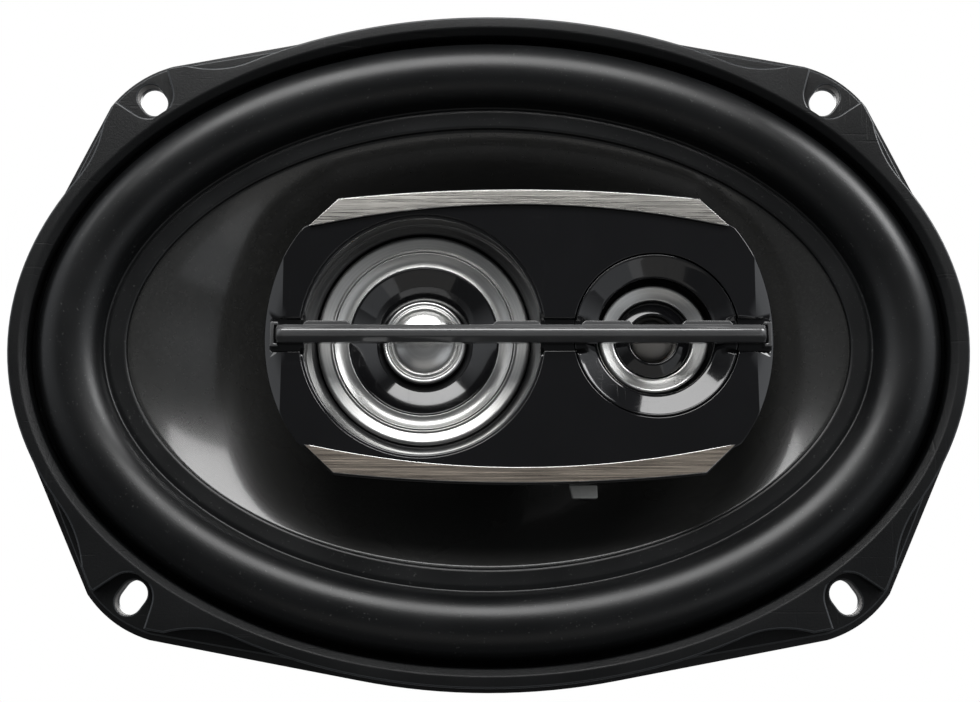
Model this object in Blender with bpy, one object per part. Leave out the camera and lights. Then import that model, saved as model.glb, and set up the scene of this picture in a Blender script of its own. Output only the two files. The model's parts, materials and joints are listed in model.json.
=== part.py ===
"""Oval 6 x 9 inch coaxial car speaker: woofer, and a pod over it with a mid-range and a tweeter.

Every solid is modelled in the speaker's own frame: X along the long side, Y along the short side and
Z towards the listener, with Z = 0 on the rear face of the mounting flange. The parent empty
speaker_frame stands that frame upright, so the speaker faces world -Y.
"""

from math import cos, hypot, pi, radians, sin, sqrt

import bmesh
import bpy
from mathutils import Matrix, Vector
from mathutils.geometry import convex_hull_2d

MM = 0.001
GAP = 0.3
RIM_STEPS = 48
ROUND_STEPS = 24
SMALL_STEPS = 16
TINY_STEPS = 10

# Gasket outer edge: every large ring is a constant offset from this ellipse.
RIM_A = 116.7
RIM_B = 82.5

# Mounting flange, front gasket and its four screw ears
FLANGE_OVERHANG = 1.5
FLANGE_T = 1.4
FLANGE_INNER_OFFSET = -8.6
EAR_FLOOR_Z = 4.5
GASKET_FRONT_Z = 8.0
GASKET_INNER_OFFSET = -4.4
GASKET_CHAMFER = 1.6
SLOT_X = 84.8
SLOT_Y = 61.7
SLOT_WIDTH = 6.4
SLOT_LENGTH = 8.6
EAR_AXIS = radians(54)
EAR_SPREAD = radians(20)
EAR_RECESS_R = 5.8
EAR_TIP_SIDE = Vector((95.6, 60.2))
EAR_TIP_TOP = Vector((80.2, 71.0))
EAR_BULGE = 1.6

# Basket (pressed frame)
SHELL_T = 1.3
SKIRT_Z = -13.0
SHOULDER_A = 100.0
SHOULDER_B = 68.0
SHOULDER_Z = -18.5
SHELF_OUTER_R = 51.0
SHELF_INNER_R = 43.0
SHELF_Z = -38.8
FLOOR_Z = -52.0
FLOOR_T = 2.0
FLOOR_HOLE_R = 20.0
BOWL_R = 41.5
WINDOW_COUNT = 8
WINDOW_STEPS = 12
WINDOW_HALF_TURN = radians(15.5)
WINDOW_INNER_A = 56.0
WINDOW_INNER_B = 55.0
WINDOW_OUTER_A = 98.0
WINDOW_OUTER_B = 67.5

# Woofer surround and cone
FOOT_Z = 2.3
SURROUND_T = 0.9
ROLL_OUTER_OFFSET = -5.8
ROLL_INNER_OFFSET = -22.0
ROLL_HEIGHT = 6.9
LIP_INNER_OFFSET = -27.5
LIP_Z = 1.4
CONE_T = 0.8
CONE_DEPTH = 35.0
CONE_CURVE = 1.1
NECK_R = 16.2

# Woofer motor
FORMER_INNER_R = 15.2
FORMER_OUTER_R = 15.8
FORMER_FRONT_Z = -32.0
FORMER_REAR_Z = -63.0
WINDING_OUTER_R = 16.9
WINDING_FRONT_Z = -51.0
WINDING_REAR_Z = -62.6
SPIDER_Z = -37.6
SPIDER_OUTER_R = 49.0
SPIDER_ROLLS = 4
SPIDER_WAVE = 1.2
TOP_PLATE_R = 46.0
TOP_PLATE_FRONT_Z = -54.3
TOP_PLATE_REAR_Z = -59.3
GAP_OUTER_R = 17.7
MAGNET_R = 47.0
MAGNET_HOLE_R = 23.0
MAGNET_REAR_Z = -76.6
BACK_PLATE_R = 44.0
BACK_PLATE_REAR_Z = -82.0
POLE_R = 14.6
POLE_FRONT_Z = -53.5
POST_R = 3.9
POST_BORE_R = 4.3
NUT_RECESS_R = 12.0
NUT_RECESS_Z = -78.0
BOOT_R = 49.4
BOOT_T = 1.7
BOOT_FRONT_Z = -63.0
BOOT_REAR_Z = -84.3
BOOT_HOLE_R = 17.0
RIVET_CIRCLE_R = 31.0
RIVET_HEAD_R = 2.7
RIVET_R = 1.5

# Terminal board on the basket's left spoke
BOARD_X = -57.0
BOARD_LENGTH = 22.0
BOARD_WIDTH = 27.0
BOARD_T = 1.6
BOARD_FRONT_Z = -43.4
TAB_Y = 8.5
TAB_LENGTH = 13.0
TAB_T = 0.8
POSITIVE_TAB_WIDTH = 6.3
NEGATIVE_TAB_WIDTH = 4.8
LEAD_R = 0.9

# Pod that carries the mid-range and the tweeter
POD_X = 7.3
POD_END = 61.0
POD_END_R = 42.3
POD_CORNER_U = 51.0
POD_CORNER_V = 26.6
POD_SHOULDER_U = 43.5
POD_SHOULDER_V = 34.0
POD_CROWN_V = 36.4
POD_STRIP_INNER_V = 32.3
POD_FACET_U = 56.4
POD_FRONT_Z = 14.5
FASCIA_REAR_Z = 11.2
FACET_REAR_Z = 11.9
HOUSING_REAR_Z = 0.6
HOUSING_REAR_SCALE = 0.88
HOUSING_T = 1.7
CHANNEL_HALF = 3.9
CHANNEL_Z = 13.0
BAR_LEFT_X = -50.4
BAR_RIGHT_X = 65.8
BAR_HALF = 2.1
BAR_FRONT_Z = 17.6

# Mid-range
MID_X = -15.8
MID_OPENING_R = 29.6
MID_BEZEL_R = 29.3
MID_BEZEL_INNER_R = 26.3
MID_FRAME_R = 25.9
MID_FRAME_Z = 6.0
MID_ROLL_OUTER_R = 23.4
MID_ROLL_INNER_R = 18.8
MID_CONE_NECK_R = 9.6
MID_CONE_NECK_Z = 0.4
MID_CAP_R = 10.3
MID_CAP_Z = 4.6
MID_CAN_R = 22.0
MID_CAN_REAR_Z = -13.0

# Tweeter
TWEETER_X = 41.0
TWEETER_OPENING_R = 19.8
TWEETER_FLARE_R = 19.5
TWEETER_THROAT_R = 14.9
TWEETER_RING_R = 13.3
TWEETER_RING_INNER_R = 9.6
TWEETER_RING_Z = 8.0
TWEETER_DOME_R = 5.0
TWEETER_DOME_Z = 3.6
TWEETER_CAN_R = 15.6
TWEETER_CAN_REAR_Z = -7.5

# Colours (linear red, green, blue), roughness and metallic of each material
FINISHES = {
    "frame_black_paint": ((0.012, 0.012, 0.013), 0.45, 0.0),
    "gasket_slate": ((0.022, 0.024, 0.026), 0.55, 0.0),
    "surround_rubber": ((0.014, 0.015, 0.016), 0.5, 0.0),
    "cone_graphite": ((0.035, 0.035, 0.034), 0.35, 0.3),
    "former_foil": ((0.62, 0.60, 0.56), 0.4, 1.0),
    "copper_wire": ((0.62, 0.27, 0.12), 0.35, 1.0),
    "spider_cloth": ((0.42, 0.30, 0.08), 0.9, 0.0),
    "zinc_steel": ((0.55, 0.55, 0.52), 0.35, 1.0),
    "ferrite": ((0.03, 0.03, 0.032), 0.75, 0.0),
    "boot_rubber": ((0.015, 0.015, 0.016), 0.65, 0.0),
    "pod_gloss_black": ((0.006, 0.006, 0.007), 0.08, 0.0),
    "pod_matt_black": ((0.015, 0.015, 0.016), 0.5, 0.0),
    "brushed_aluminium": ((0.60, 0.59, 0.57), 0.28, 1.0),
    "bar_graphite": ((0.05, 0.05, 0.052), 0.22, 0.4),
    "silver_satin": ((0.66, 0.65, 0.63), 0.25, 0.9),
    "silver_film": ((0.78, 0.78, 0.76), 0.18, 1.0),
    "dome_black": ((0.02, 0.02, 0.02), 0.4, 0.0),
    "board_phenolic": ((0.09, 0.035, 0.015), 0.6, 0.0),
    "tab_brass": ((0.75, 0.58, 0.28), 0.3, 1.0),
    "lead_braid": ((0.45, 0.40, 0.32), 0.5, 0.8),
    "capacitor_film": ((0.05, 0.09, 0.20), 0.35, 0.0),
}


def clear_scene():
    for obj in list(bpy.data.objects):
        bpy.data.objects.remove(obj, do_unlink=True)


def finish(name):
    """The Principled material of one finish."""
    if name in bpy.data.materials:
        return bpy.data.materials[name]
    colour, roughness, metallic = FINISHES[name]
    material = bpy.data.materials.new(name)
    material.use_nodes = True
    shader = material.node_tree.nodes["Principled BSDF"]
    shader.inputs["Base Color"].default_value = (*colour, 1.0)
    shader.inputs["Roughness"].default_value = roughness
    shader.inputs["Metallic"].default_value = metallic
    return material


def empty(name, parent, x=0.0):
    obj = bpy.data.objects.new(name, None)
    bpy.context.scene.collection.objects.link(obj)
    obj.parent = parent
    obj.location = (x * MM, 0.0, 0.0)
    return obj


def mesh_object(name, bm, material, parent, at=(0.0, 0.0, 0.0), smooth=True):
    """An object from bm, which is in millimetres, placed at the point at."""
    bmesh.ops.recalc_face_normals(bm, faces=bm.faces)
    bmesh.ops.scale(bm, vec=Vector((MM, MM, MM)), verts=bm.verts)
    mesh = bpy.data.meshes.new(name)
    bm.to_mesh(mesh)
    bm.free()
    if smooth:
        mesh.shade_smooth()
        mesh.set_sharp_from_angle(angle=radians(35))
    obj = bpy.data.objects.new(name, mesh)
    bpy.context.scene.collection.objects.link(obj)
    obj.parent = parent
    obj.location = Vector(at) * MM
    if material:
        mesh.materials.append(finish(material))
    return obj


def cut(target, cutter, operation="DIFFERENCE"):
    """A Boolean modifier on target. The cutter stays out of the build."""
    cutter.hide_render = True
    cutter.display_type = "WIRE"
    modifier = target.modifiers.new(cutter.name, "BOOLEAN")
    modifier.operation = operation
    modifier.solver = "EXACT"
    modifier.object = cutter


def skin(bm, loops, ring=False):
    """Joins closed loops of points by quads. A ring joins the last to the first, else both ends close."""
    rows = [[bm.verts.new(point) for point in loop] for loop in loops]
    count = len(rows[0])
    pairs = list(zip(rows, rows[1:]))
    if ring:
        pairs.append((rows[-1], rows[0]))
    for lower, upper in pairs:
        for i in range(count):
            j = (i + 1) % count
            bm.faces.new((lower[i], lower[j], upper[j], upper[i]))
    if not ring:
        bm.faces.new(reversed(rows[0]))
        bm.faces.new(rows[-1])
    return rows


def rim_loop(offset, z, steps=RIM_STEPS):
    """The rim ellipse moved outwards by offset along its normal, at height z."""
    loop = []
    for i in range(steps):
        turn = 2 * pi * i / steps
        nx = RIM_B * cos(turn)
        ny = RIM_A * sin(turn)
        length = hypot(nx, ny)
        x = RIM_A * cos(turn) + offset * nx / length
        y = RIM_B * sin(turn) + offset * ny / length
        loop.append(Vector((x, y, z)))
    return loop


def oval_loop(a, b, z, steps=RIM_STEPS):
    """An ellipse whose points match those of rim_loop."""
    turns = [2 * pi * i / steps for i in range(steps)]
    return [Vector((a * cos(turn), b * sin(turn), z)) for turn in turns]


def round_solid(name, profile, material, parent, at=(0.0, 0.0, 0.0), steps=ROUND_STEPS):
    """A turned piece. A profile of (radius, z) whose ends are off the axis closes on itself as a ring."""
    bm = bmesh.new()
    on_axis = profile[0][0] == 0.0 or profile[-1][0] == 0.0
    loops = [oval_loop(r, r, z, steps) for r, z in profile if r > 0.0]
    rows = skin(bm, loops, ring=not on_axis)
    if on_axis:
        for point, row in ((profile[0], rows[0]), (profile[-1], rows[-1])):
            if point[0] == 0.0 and point[1] != row[0].co.z:
                crown_cap(bm, row, point[1])
    return mesh_object(name, bm, material, parent, at)


def crown_cap(bm, row, z):
    """Replaces the flat cap over row by a fan that rises to z on the axis."""
    cap = next(face for face in bm.faces if len(face.verts) == len(row) and row[0] in face.verts)
    bm.faces.remove(cap)
    tip = bm.verts.new((0.0, 0.0, z))
    for i, vert in enumerate(row):
        bm.faces.new((vert, row[(i + 1) % len(row)], tip))


def prism(name, outline, z_low, z_high, material, parent, at=(0.0, 0.0, 0.0), smooth=False):
    """A straight extrusion of a closed outline of (x, y) points."""
    bm = bmesh.new()
    lower = [Vector((x, y, z_low)) for x, y in outline]
    upper = [Vector((x, y, z_high)) for x, y in outline]
    skin(bm, [lower, upper])
    return mesh_object(name, bm, material, parent, at, smooth)


def box(name, low, high, material, parent, bevel=0.0):
    """A box between two corners, placed by its centre."""
    bm = bmesh.new()
    bmesh.ops.create_cube(bm, size=1.0)
    size = Vector(high) - Vector(low)
    bmesh.ops.scale(bm, vec=size, verts=bm.verts)
    if bevel:
        bmesh.ops.bevel(bm, geom=bm.edges[:], offset=bevel, segments=1, affect="EDGES")
    return mesh_object(name, bm, material, parent, (Vector(low) + Vector(high)) / 2, False)


def smooth_solid_cylinder(name, r, z_low, z_high, parent, x=0.0, y=0.0, steps=ROUND_STEPS):
    """A plain cylinder, used as a cutter or as a bulge."""
    profile = [(0.0, z_low), (r, z_low), (r, z_high), (0.0, z_high)]
    return round_solid(name, profile, None, parent, (x, y, 0.0), steps)


# Mounting flange, ears and gasket


def ear_corner(extra):
    """The outer corner of one ear, in the first quadrant: a flat arc between its two fin tips."""
    points = []
    span = EAR_TIP_TOP - EAR_TIP_SIDE
    outwards = Vector((span.y, -span.x)).normalized()
    if outwards.x < 0:
        outwards.negate()
    for i in range(7):
        t = i / 6
        rise = EAR_BULGE * 4 * t * (1 - t) + extra
        points.append(EAR_TIP_SIDE + span * t + outwards * rise)
    return points


def flange_outline(offset):
    """The rim ellipse and its four ears, wrapped by straight sides."""
    points = [Vector((p.x, p.y)) for p in rim_loop(offset, 0.0)]
    for sx in (-1, 1):
        for sy in (-1, 1):
            points += [Vector((sx * p.x, sy * p.y)) for p in ear_corner(max(offset, 0.0) * 0.6)]
    return [(points[i].x, points[i].y) for i in convex_hull_2d(points)]


def rim_tangent_point(turn):
    point = Vector((RIM_A * cos(turn), RIM_B * sin(turn)))
    tangent = Vector((-RIM_A * sin(turn), RIM_B * cos(turn))).normalized()
    return point, tangent


def fillet(start, control, end, steps=6):
    """Points along the curve that leaves start towards control and arrives at end."""
    points = []
    for i in range(steps + 1):
        t = i / steps
        points.append(start * (1 - t) ** 2 + control * 2 * t * (1 - t) + end * t ** 2)
    return points


def ear_pad_outline(sx, sy):
    """The raised pad round one screw ear, with hollow fillets where it leaves the rim."""
    top_start, top_tangent = rim_tangent_point(radians(59))
    side_start, side_tangent = rim_tangent_point(radians(29))
    points = [Vector((0.90 * top_start.x, 0.90 * top_start.y))]
    points.append(Vector((0.94 * side_start.x, 0.94 * side_start.y)))
    points += fillet(side_start, side_start + side_tangent * 10.5, EAR_TIP_SIDE)
    points += [p for p in ear_corner(0.0)[1:-1]]
    points += reversed(fillet(top_start, top_start - top_tangent * 9.5, EAR_TIP_TOP))
    return [(sx * p.x, sy * p.y) for p in points]


def ear_recess_outline(sx, sy):
    """The screw head's recess: round about the slot, and open outwards between the two fins."""
    centre = Vector((SLOT_X, SLOT_Y))
    points = []
    for i in range(11):
        turn = EAR_AXIS + pi / 2 + EAR_SPREAD + (pi - 2 * EAR_SPREAD) * i / 10
        points.append(centre + EAR_RECESS_R * Vector((cos(turn), sin(turn))))
    for side in (-1, 1):
        turn = EAR_AXIS + side * EAR_SPREAD
        start = points[-1] if side < 0 else points[0]
        points.append(start + 22.0 * Vector((cos(turn), sin(turn))))
    return [(sx * p.x, sy * p.y) for p in points]


def slot_outline(sx, sy):
    """The elongated screw hole, whose long way points at the ear's corner."""
    points = []
    half = (SLOT_LENGTH - SLOT_WIDTH) / 2
    along = Vector((cos(EAR_AXIS), sin(EAR_AXIS)))
    for end in (1, -1):
        for i in range(7):
            turn = EAR_AXIS + (0 if end > 0 else pi) - pi / 2 + pi * i / 6
            radial = Vector((cos(turn), sin(turn)))
            points.append(Vector((SLOT_X, SLOT_Y)) + along * half * end + radial * SLOT_WIDTH / 2)
    return [(sx * p.x, sy * p.y) for p in points]


def quadrants():
    return [("pos" if sx > 0 else "neg", "top" if sy > 0 else "low", sx, sy) for sx in (1, -1) for sy in (1, -1)]


def cut_slots(target, z_low, z_high, parent):
    for side, level, sx, sy in quadrants():
        name = f"{target.name}_slot_{side}_{level}"
        cut(target, prism(name, slot_outline(sx, sy), z_low, z_high, None, parent))


def front_gasket(frame):
    """Lower sheet over the whole flange, and the raised ring with its ear pads on top of it."""
    gasket = prism("front_gasket", flange_outline(-0.2), FLANGE_T + GAP, EAR_FLOOR_Z, "gasket_slate", frame)
    bm = bmesh.new()
    chamfer = 0.6
    loops = [rim_loop(0.0, EAR_FLOOR_Z - 0.8), rim_loop(0.0, GASKET_FRONT_Z - chamfer)]
    loops.append(rim_loop(-chamfer, GASKET_FRONT_Z))
    skin(bm, loops)
    cut(gasket, mesh_object("gasket_ring", bm, None, frame), "UNION")
    for side, level, sx, sy in quadrants():
        name = f"ear_pad_{side}_{level}"
        pad = prism(name, ear_pad_outline(sx, sy), EAR_FLOOR_Z - 0.7, GASKET_FRONT_Z - 0.2, None, frame)
        cut(gasket, pad, "UNION")
    for side, level, sx, sy in quadrants():
        name = f"ear_recess_{side}_{level}"
        recess = prism(name, ear_recess_outline(sx, sy), EAR_FLOOR_Z, GASKET_FRONT_Z + 2, None, frame)
        cut(gasket, recess)
    bm = bmesh.new()
    inner = GASKET_INNER_OFFSET
    loops = [rim_loop(inner, 0.0), rim_loop(inner, GASKET_FRONT_Z - GASKET_CHAMFER)]
    loops.append(rim_loop(inner + GASKET_CHAMFER, GASKET_FRONT_Z))
    loops.append(rim_loop(inner + 3 * GASKET_CHAMFER, GASKET_FRONT_Z + 2 * GASKET_CHAMFER))
    skin(bm, loops)
    cut(gasket, mesh_object("gasket_opening", bm, None, frame))
    cut_slots(gasket, 0.0, EAR_FLOOR_Z + 2, frame)
    return gasket


# Basket


def basket_front_loops():
    """The inner skin of the basket, from the flange's inner edge down to the floor."""
    shoulder = [oval_loop(SHOULDER_A, SHOULDER_B, SHOULDER_Z)]
    loops = [rim_loop(FLANGE_INNER_OFFSET, FLANGE_T), rim_loop(FLANGE_INNER_OFFSET - 0.6, SKIRT_Z)]
    loops += shoulder
    loops.append(oval_loop(SHELF_OUTER_R, SHELF_OUTER_R, SHELF_Z))
    loops.append(oval_loop(SHELF_INNER_R, SHELF_INNER_R, SHELF_Z))
    loops.append(oval_loop(BOWL_R, BOWL_R, FLOOR_Z))
    loops.append(oval_loop(FLOOR_HOLE_R, FLOOR_HOLE_R, FLOOR_Z))
    return loops


def basket_rear_loops():
    """The outer skin, from the floor's hole up to the flange's rear face."""
    loops = [oval_loop(FLOOR_HOLE_R, FLOOR_HOLE_R, FLOOR_Z - FLOOR_T)]
    loops.append(oval_loop(BOWL_R + SHELL_T, BOWL_R + SHELL_T, FLOOR_Z - FLOOR_T))
    loops.append(oval_loop(SHELF_INNER_R + SHELL_T, SHELF_INNER_R + SHELL_T, SHELF_Z - SHELL_T))
    loops.append(oval_loop(SHELF_OUTER_R + SHELL_T, SHELF_OUTER_R + SHELL_T, SHELF_Z - SHELL_T))
    loops.append(oval_loop(SHOULDER_A + SHELL_T, SHOULDER_B + SHELL_T, SHOULDER_Z - SHELL_T))
    loops.append(rim_loop(FLANGE_INNER_OFFSET - 0.6 + SHELL_T, SKIRT_Z - 0.8))
    loops.append(rim_loop(FLANGE_INNER_OFFSET + SHELL_T, 0.6))
    return loops


def window_outline(turn):
    """A round-cornered window between two ellipses, about the direction turn."""
    points = []
    for i in range(WINDOW_STEPS):
        angle = 2 * pi * (i + 0.5) / WINDOW_STEPS
        across = abs(cos(angle)) ** 0.45 * (1 if cos(angle) > 0 else -1)
        out = abs(sin(angle)) ** 0.45 * (1 if sin(angle) > 0 else -1)
        share = 0.5 + 0.5 * out
        here = turn + WINDOW_HALF_TURN * across
        a = WINDOW_INNER_A + (WINDOW_OUTER_A - WINDOW_INNER_A) * share
        b = WINDOW_INNER_B + (WINDOW_OUTER_B - WINDOW_INNER_B) * share
        points.append((a * cos(here), b * sin(here)))
    return points


def basket(frame):
    bm = bmesh.new()
    skin(bm, basket_front_loops() + basket_rear_loops(), ring=True)
    obj = mesh_object("basket", bm, "frame_black_paint", frame)
    flange = prism("flange_plate", flange_outline(FLANGE_OVERHANG), 0.0, FLANGE_T, None, frame)
    bm = bmesh.new()
    skin(bm, [rim_loop(FLANGE_INNER_OFFSET + 0.6, -2.0), rim_loop(FLANGE_INNER_OFFSET + 0.6, FLANGE_T + 2)])
    cut(flange, mesh_object("flange_opening", bm, None, frame))
    cut(obj, flange, "UNION")
    for i in range(WINDOW_COUNT):
        outline = window_outline(2 * pi * (i + 0.5) / WINDOW_COUNT)
        cut(obj, prism(f"basket_window_{i + 1}", outline, SHELF_Z - 6, SHOULDER_Z + 12, None, frame))
    cut_slots(obj, -2.0, FLANGE_T + 2, frame)
    for i, (x, y) in enumerate(rivet_points()):
        name = f"basket_rivet_hole_{i + 1}"
        hole = smooth_solid_cylinder(
            name, RIVET_R + GAP, FLOOR_Z - 5, FLOOR_Z + 3, frame, x, y, TINY_STEPS)
        cut(obj, hole)
    return obj


def rivet_points():
    turns = [pi / 4 + pi / 2 * i for i in range(4)]
    return [(RIVET_CIRCLE_R * cos(turn), RIVET_CIRCLE_R * sin(turn)) for turn in turns]


# Woofer moving parts


def surround(parent):
    """Half-roll of rubber between the flange and the cone's edge."""
    front = [(GASKET_INNER_OFFSET - GAP, FOOT_Z + SURROUND_T)]
    rear = [(GASKET_INNER_OFFSET - GAP, FOOT_Z)]
    middle = (ROLL_OUTER_OFFSET + ROLL_INNER_OFFSET) / 2
    half = (ROLL_OUTER_OFFSET - ROLL_INNER_OFFSET) / 2
    steps = 6
    for i in range(steps + 1):
        turn = pi * i / steps
        base = FOOT_Z + (LIP_Z - FOOT_Z) * i / steps
        front.append((middle + half * cos(turn), base + SURROUND_T + ROLL_HEIGHT * sin(turn)))
        slim = half - SURROUND_T * sin(turn) - 0.2
        rear.append((middle + slim * cos(turn), base + ROLL_HEIGHT * sin(turn)))
    front.append((LIP_INNER_OFFSET, LIP_Z + SURROUND_T))
    rear.append((LIP_INNER_OFFSET, LIP_Z))
    profile = front + list(reversed(rear))
    bm = bmesh.new()
    skin(bm, [rim_loop(offset, z) for offset, z in profile], ring=True)
    return mesh_object("surround", bm, "surround_rubber", parent)


def cone_point(share, turn, drop):
    """A point of the cone, share of the way from its edge to its neck."""
    edge_a = RIM_A + LIP_INNER_OFFSET - 0.3
    edge_b = RIM_B + LIP_INNER_OFFSET - 0.3
    a = edge_a + (NECK_R - edge_a) * share
    b = edge_b + (NECK_R - edge_b) * share
    z = LIP_Z - CONE_DEPTH * share ** CONE_CURVE - drop
    return Vector((a * cos(turn), b * sin(turn), z))


def woofer_cone(parent):
    """Cone with a flat edge under the surround's inner lip."""
    turns = [2 * pi * i / RIM_STEPS for i in range(RIM_STEPS)]
    seat_z = LIP_Z - GAP
    loops = [rim_loop(ROLL_INNER_OFFSET - 0.6, seat_z - CONE_T), rim_loop(ROLL_INNER_OFFSET - 0.6, seat_z)]
    shares = (0.0, 0.4, 0.75, 1.0)
    for share in shares:
        loops.append([cone_point(share, turn, GAP) for turn in turns])
    for share in reversed(shares):
        loops.append([cone_point(share, turn, GAP + CONE_T) for turn in turns])
    bm = bmesh.new()
    skin(bm, loops, ring=True)
    return mesh_object("woofer_cone", bm, "cone_graphite", parent)


def spider(parent):
    """Corrugated centring ring between the former and the basket's shelf."""
    inner = FORMER_OUTER_R + GAP
    start = inner + 2.0
    stop = SHELF_INNER_R - 0.5
    steps = SPIDER_ROLLS * 2
    front = [(inner, SPIDER_Z)]
    for i in range(steps + 1):
        r = start + (stop - start) * i / steps
        wave = 0.0 if i in (0, steps) else SPIDER_WAVE * (1 if i % 2 else -1)
        front.append((r, SPIDER_Z + wave))
    front.append((SPIDER_OUTER_R, SPIDER_Z))
    rear = [(r, z - 0.7) for r, z in reversed(front)]
    return round_solid("spider", front + rear, "spider_cloth", parent)


def voice_coil(parent):
    former = [(FORMER_INNER_R, FORMER_REAR_Z), (FORMER_OUTER_R, FORMER_REAR_Z)]
    former += [(FORMER_OUTER_R, FORMER_FRONT_Z), (FORMER_INNER_R, FORMER_FRONT_Z)]
    round_solid("voice_coil_former", former, "former_foil", parent)
    inner = FORMER_OUTER_R + 0.15
    winding = [(inner, WINDING_REAR_Z), (WINDING_OUTER_R, WINDING_REAR_Z)]
    winding += [(WINDING_OUTER_R, WINDING_FRONT_Z), (inner, WINDING_FRONT_Z)]
    round_solid("voice_coil_winding", winding, "copper_wire", parent)
    neck_z = LIP_Z - CONE_DEPTH
    ring = [(FORMER_OUTER_R + GAP, neck_z - 2.6), (NECK_R + 2.0, neck_z - 1.6)]
    ring += [(NECK_R + 0.9, neck_z - 1.4), (FORMER_OUTER_R + GAP, neck_z - 1.4)]
    round_solid("neck_glue_ring", ring, "frame_black_paint", parent)


# Woofer motor


def motor(frame):
    bolt_holes = rivet_points()
    plate = [(GAP_OUTER_R, TOP_PLATE_REAR_Z), (TOP_PLATE_R, TOP_PLATE_REAR_Z)]
    plate += [(TOP_PLATE_R, TOP_PLATE_FRONT_Z), (GAP_OUTER_R, TOP_PLATE_FRONT_Z)]
    top = round_solid("top_plate", plate, "zinc_steel", frame)
    for i, (x, y) in enumerate(bolt_holes):
        name = f"plate_rivet_hole_{i + 1}"
        hole = smooth_solid_cylinder(
            name, RIVET_R + GAP, TOP_PLATE_REAR_Z - 2, TOP_PLATE_FRONT_Z + 2, frame, x, y, TINY_STEPS)
        cut(top, hole)
    front_z = TOP_PLATE_REAR_Z - GAP
    edge = 1.0
    magnet = [(MAGNET_HOLE_R, MAGNET_REAR_Z), (MAGNET_R - edge, MAGNET_REAR_Z)]
    magnet += [(MAGNET_R, MAGNET_REAR_Z + edge), (MAGNET_R, front_z - edge)]
    magnet += [(MAGNET_R - edge, front_z), (MAGNET_HOLE_R, front_z)]
    round_solid("ferrite_magnet", magnet, "ferrite", frame)
    plate_front_z = MAGNET_REAR_Z - GAP
    yoke = [(POST_BORE_R, NUT_RECESS_Z), (NUT_RECESS_R, NUT_RECESS_Z), (NUT_RECESS_R, BACK_PLATE_REAR_Z)]
    yoke += [(BACK_PLATE_R - 1.5, BACK_PLATE_REAR_Z), (BACK_PLATE_R, BACK_PLATE_REAR_Z + 1.5)]
    yoke += [(BACK_PLATE_R, plate_front_z), (POLE_R, plate_front_z), (POLE_R, POLE_FRONT_Z - 1)]
    yoke += [(POLE_R - 1, POLE_FRONT_Z), (POST_BORE_R, POLE_FRONT_Z)]
    round_solid("yoke", yoke, "zinc_steel", frame)
    inner = BOOT_R - BOOT_T
    boot = [(BOOT_HOLE_R, BOOT_REAR_Z), (BOOT_R - 3, BOOT_REAR_Z), (BOOT_R, BOOT_REAR_Z + 3)]
    boot += [(BOOT_R, BOOT_FRONT_Z), (inner, BOOT_FRONT_Z), (inner, BACK_PLATE_REAR_Z + 1)]
    boot += [(inner - 2.5, BACK_PLATE_REAR_Z - GAP), (BOOT_HOLE_R, BACK_PLATE_REAR_Z - GAP)]
    round_solid("magnet_boot", boot, "boot_rubber", frame)
    for i, (x, y) in enumerate(bolt_holes):
        head_z = FLOOR_Z + GAP
        profile = [(0.0, TOP_PLATE_REAR_Z + GAP), (RIVET_R, TOP_PLATE_REAR_Z + GAP), (RIVET_R, head_z)]
        profile += [(RIVET_HEAD_R, head_z), (RIVET_HEAD_R * 0.8, head_z + 1.1), (0.0, head_z + 1.4)]
        round_solid(f"motor_rivet_{i + 1}", profile, "zinc_steel", frame, (x, y, 0.0), TINY_STEPS)


def centre_post(frame):
    """Post through the pole piece that carries the pod, and the nut behind it."""
    end_z = BACK_PLATE_REAR_Z - 1.2
    top_z = MID_CAN_REAR_Z - GAP
    profile = [(0.0, end_z), (POST_R - 0.6, end_z), (POST_R, end_z + 0.6), (POST_R, top_z - 5.0)]
    profile += [(6.5, top_z - 2.5), (6.5, top_z), (0.0, top_z)]
    round_solid("pod_post", profile, "pod_matt_black", frame, steps=SMALL_STEPS)
    washer_z = NUT_RECESS_Z - GAP
    washer = [(POST_R + GAP, washer_z - 0.9), (9.5, washer_z - 0.9), (9.5, washer_z), (POST_R + GAP, washer_z)]
    round_solid("post_washer", washer, "zinc_steel", frame, steps=SMALL_STEPS)
    nut_z = washer_z - 0.9 - GAP
    bm = bmesh.new()
    sizes = [(6.6, nut_z - 3.4), (7.2, nut_z - 2.9), (7.2, nut_z)]
    skin(bm, [oval_loop(r, r, z, 6) for r, z in sizes])
    nut = mesh_object("post_nut", bm, "zinc_steel", frame, smooth=False)
    cut(nut, smooth_solid_cylinder("nut_hole", POST_R + GAP, nut_z - 6, nut_z + 2, frame, steps=SMALL_STEPS))


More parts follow.
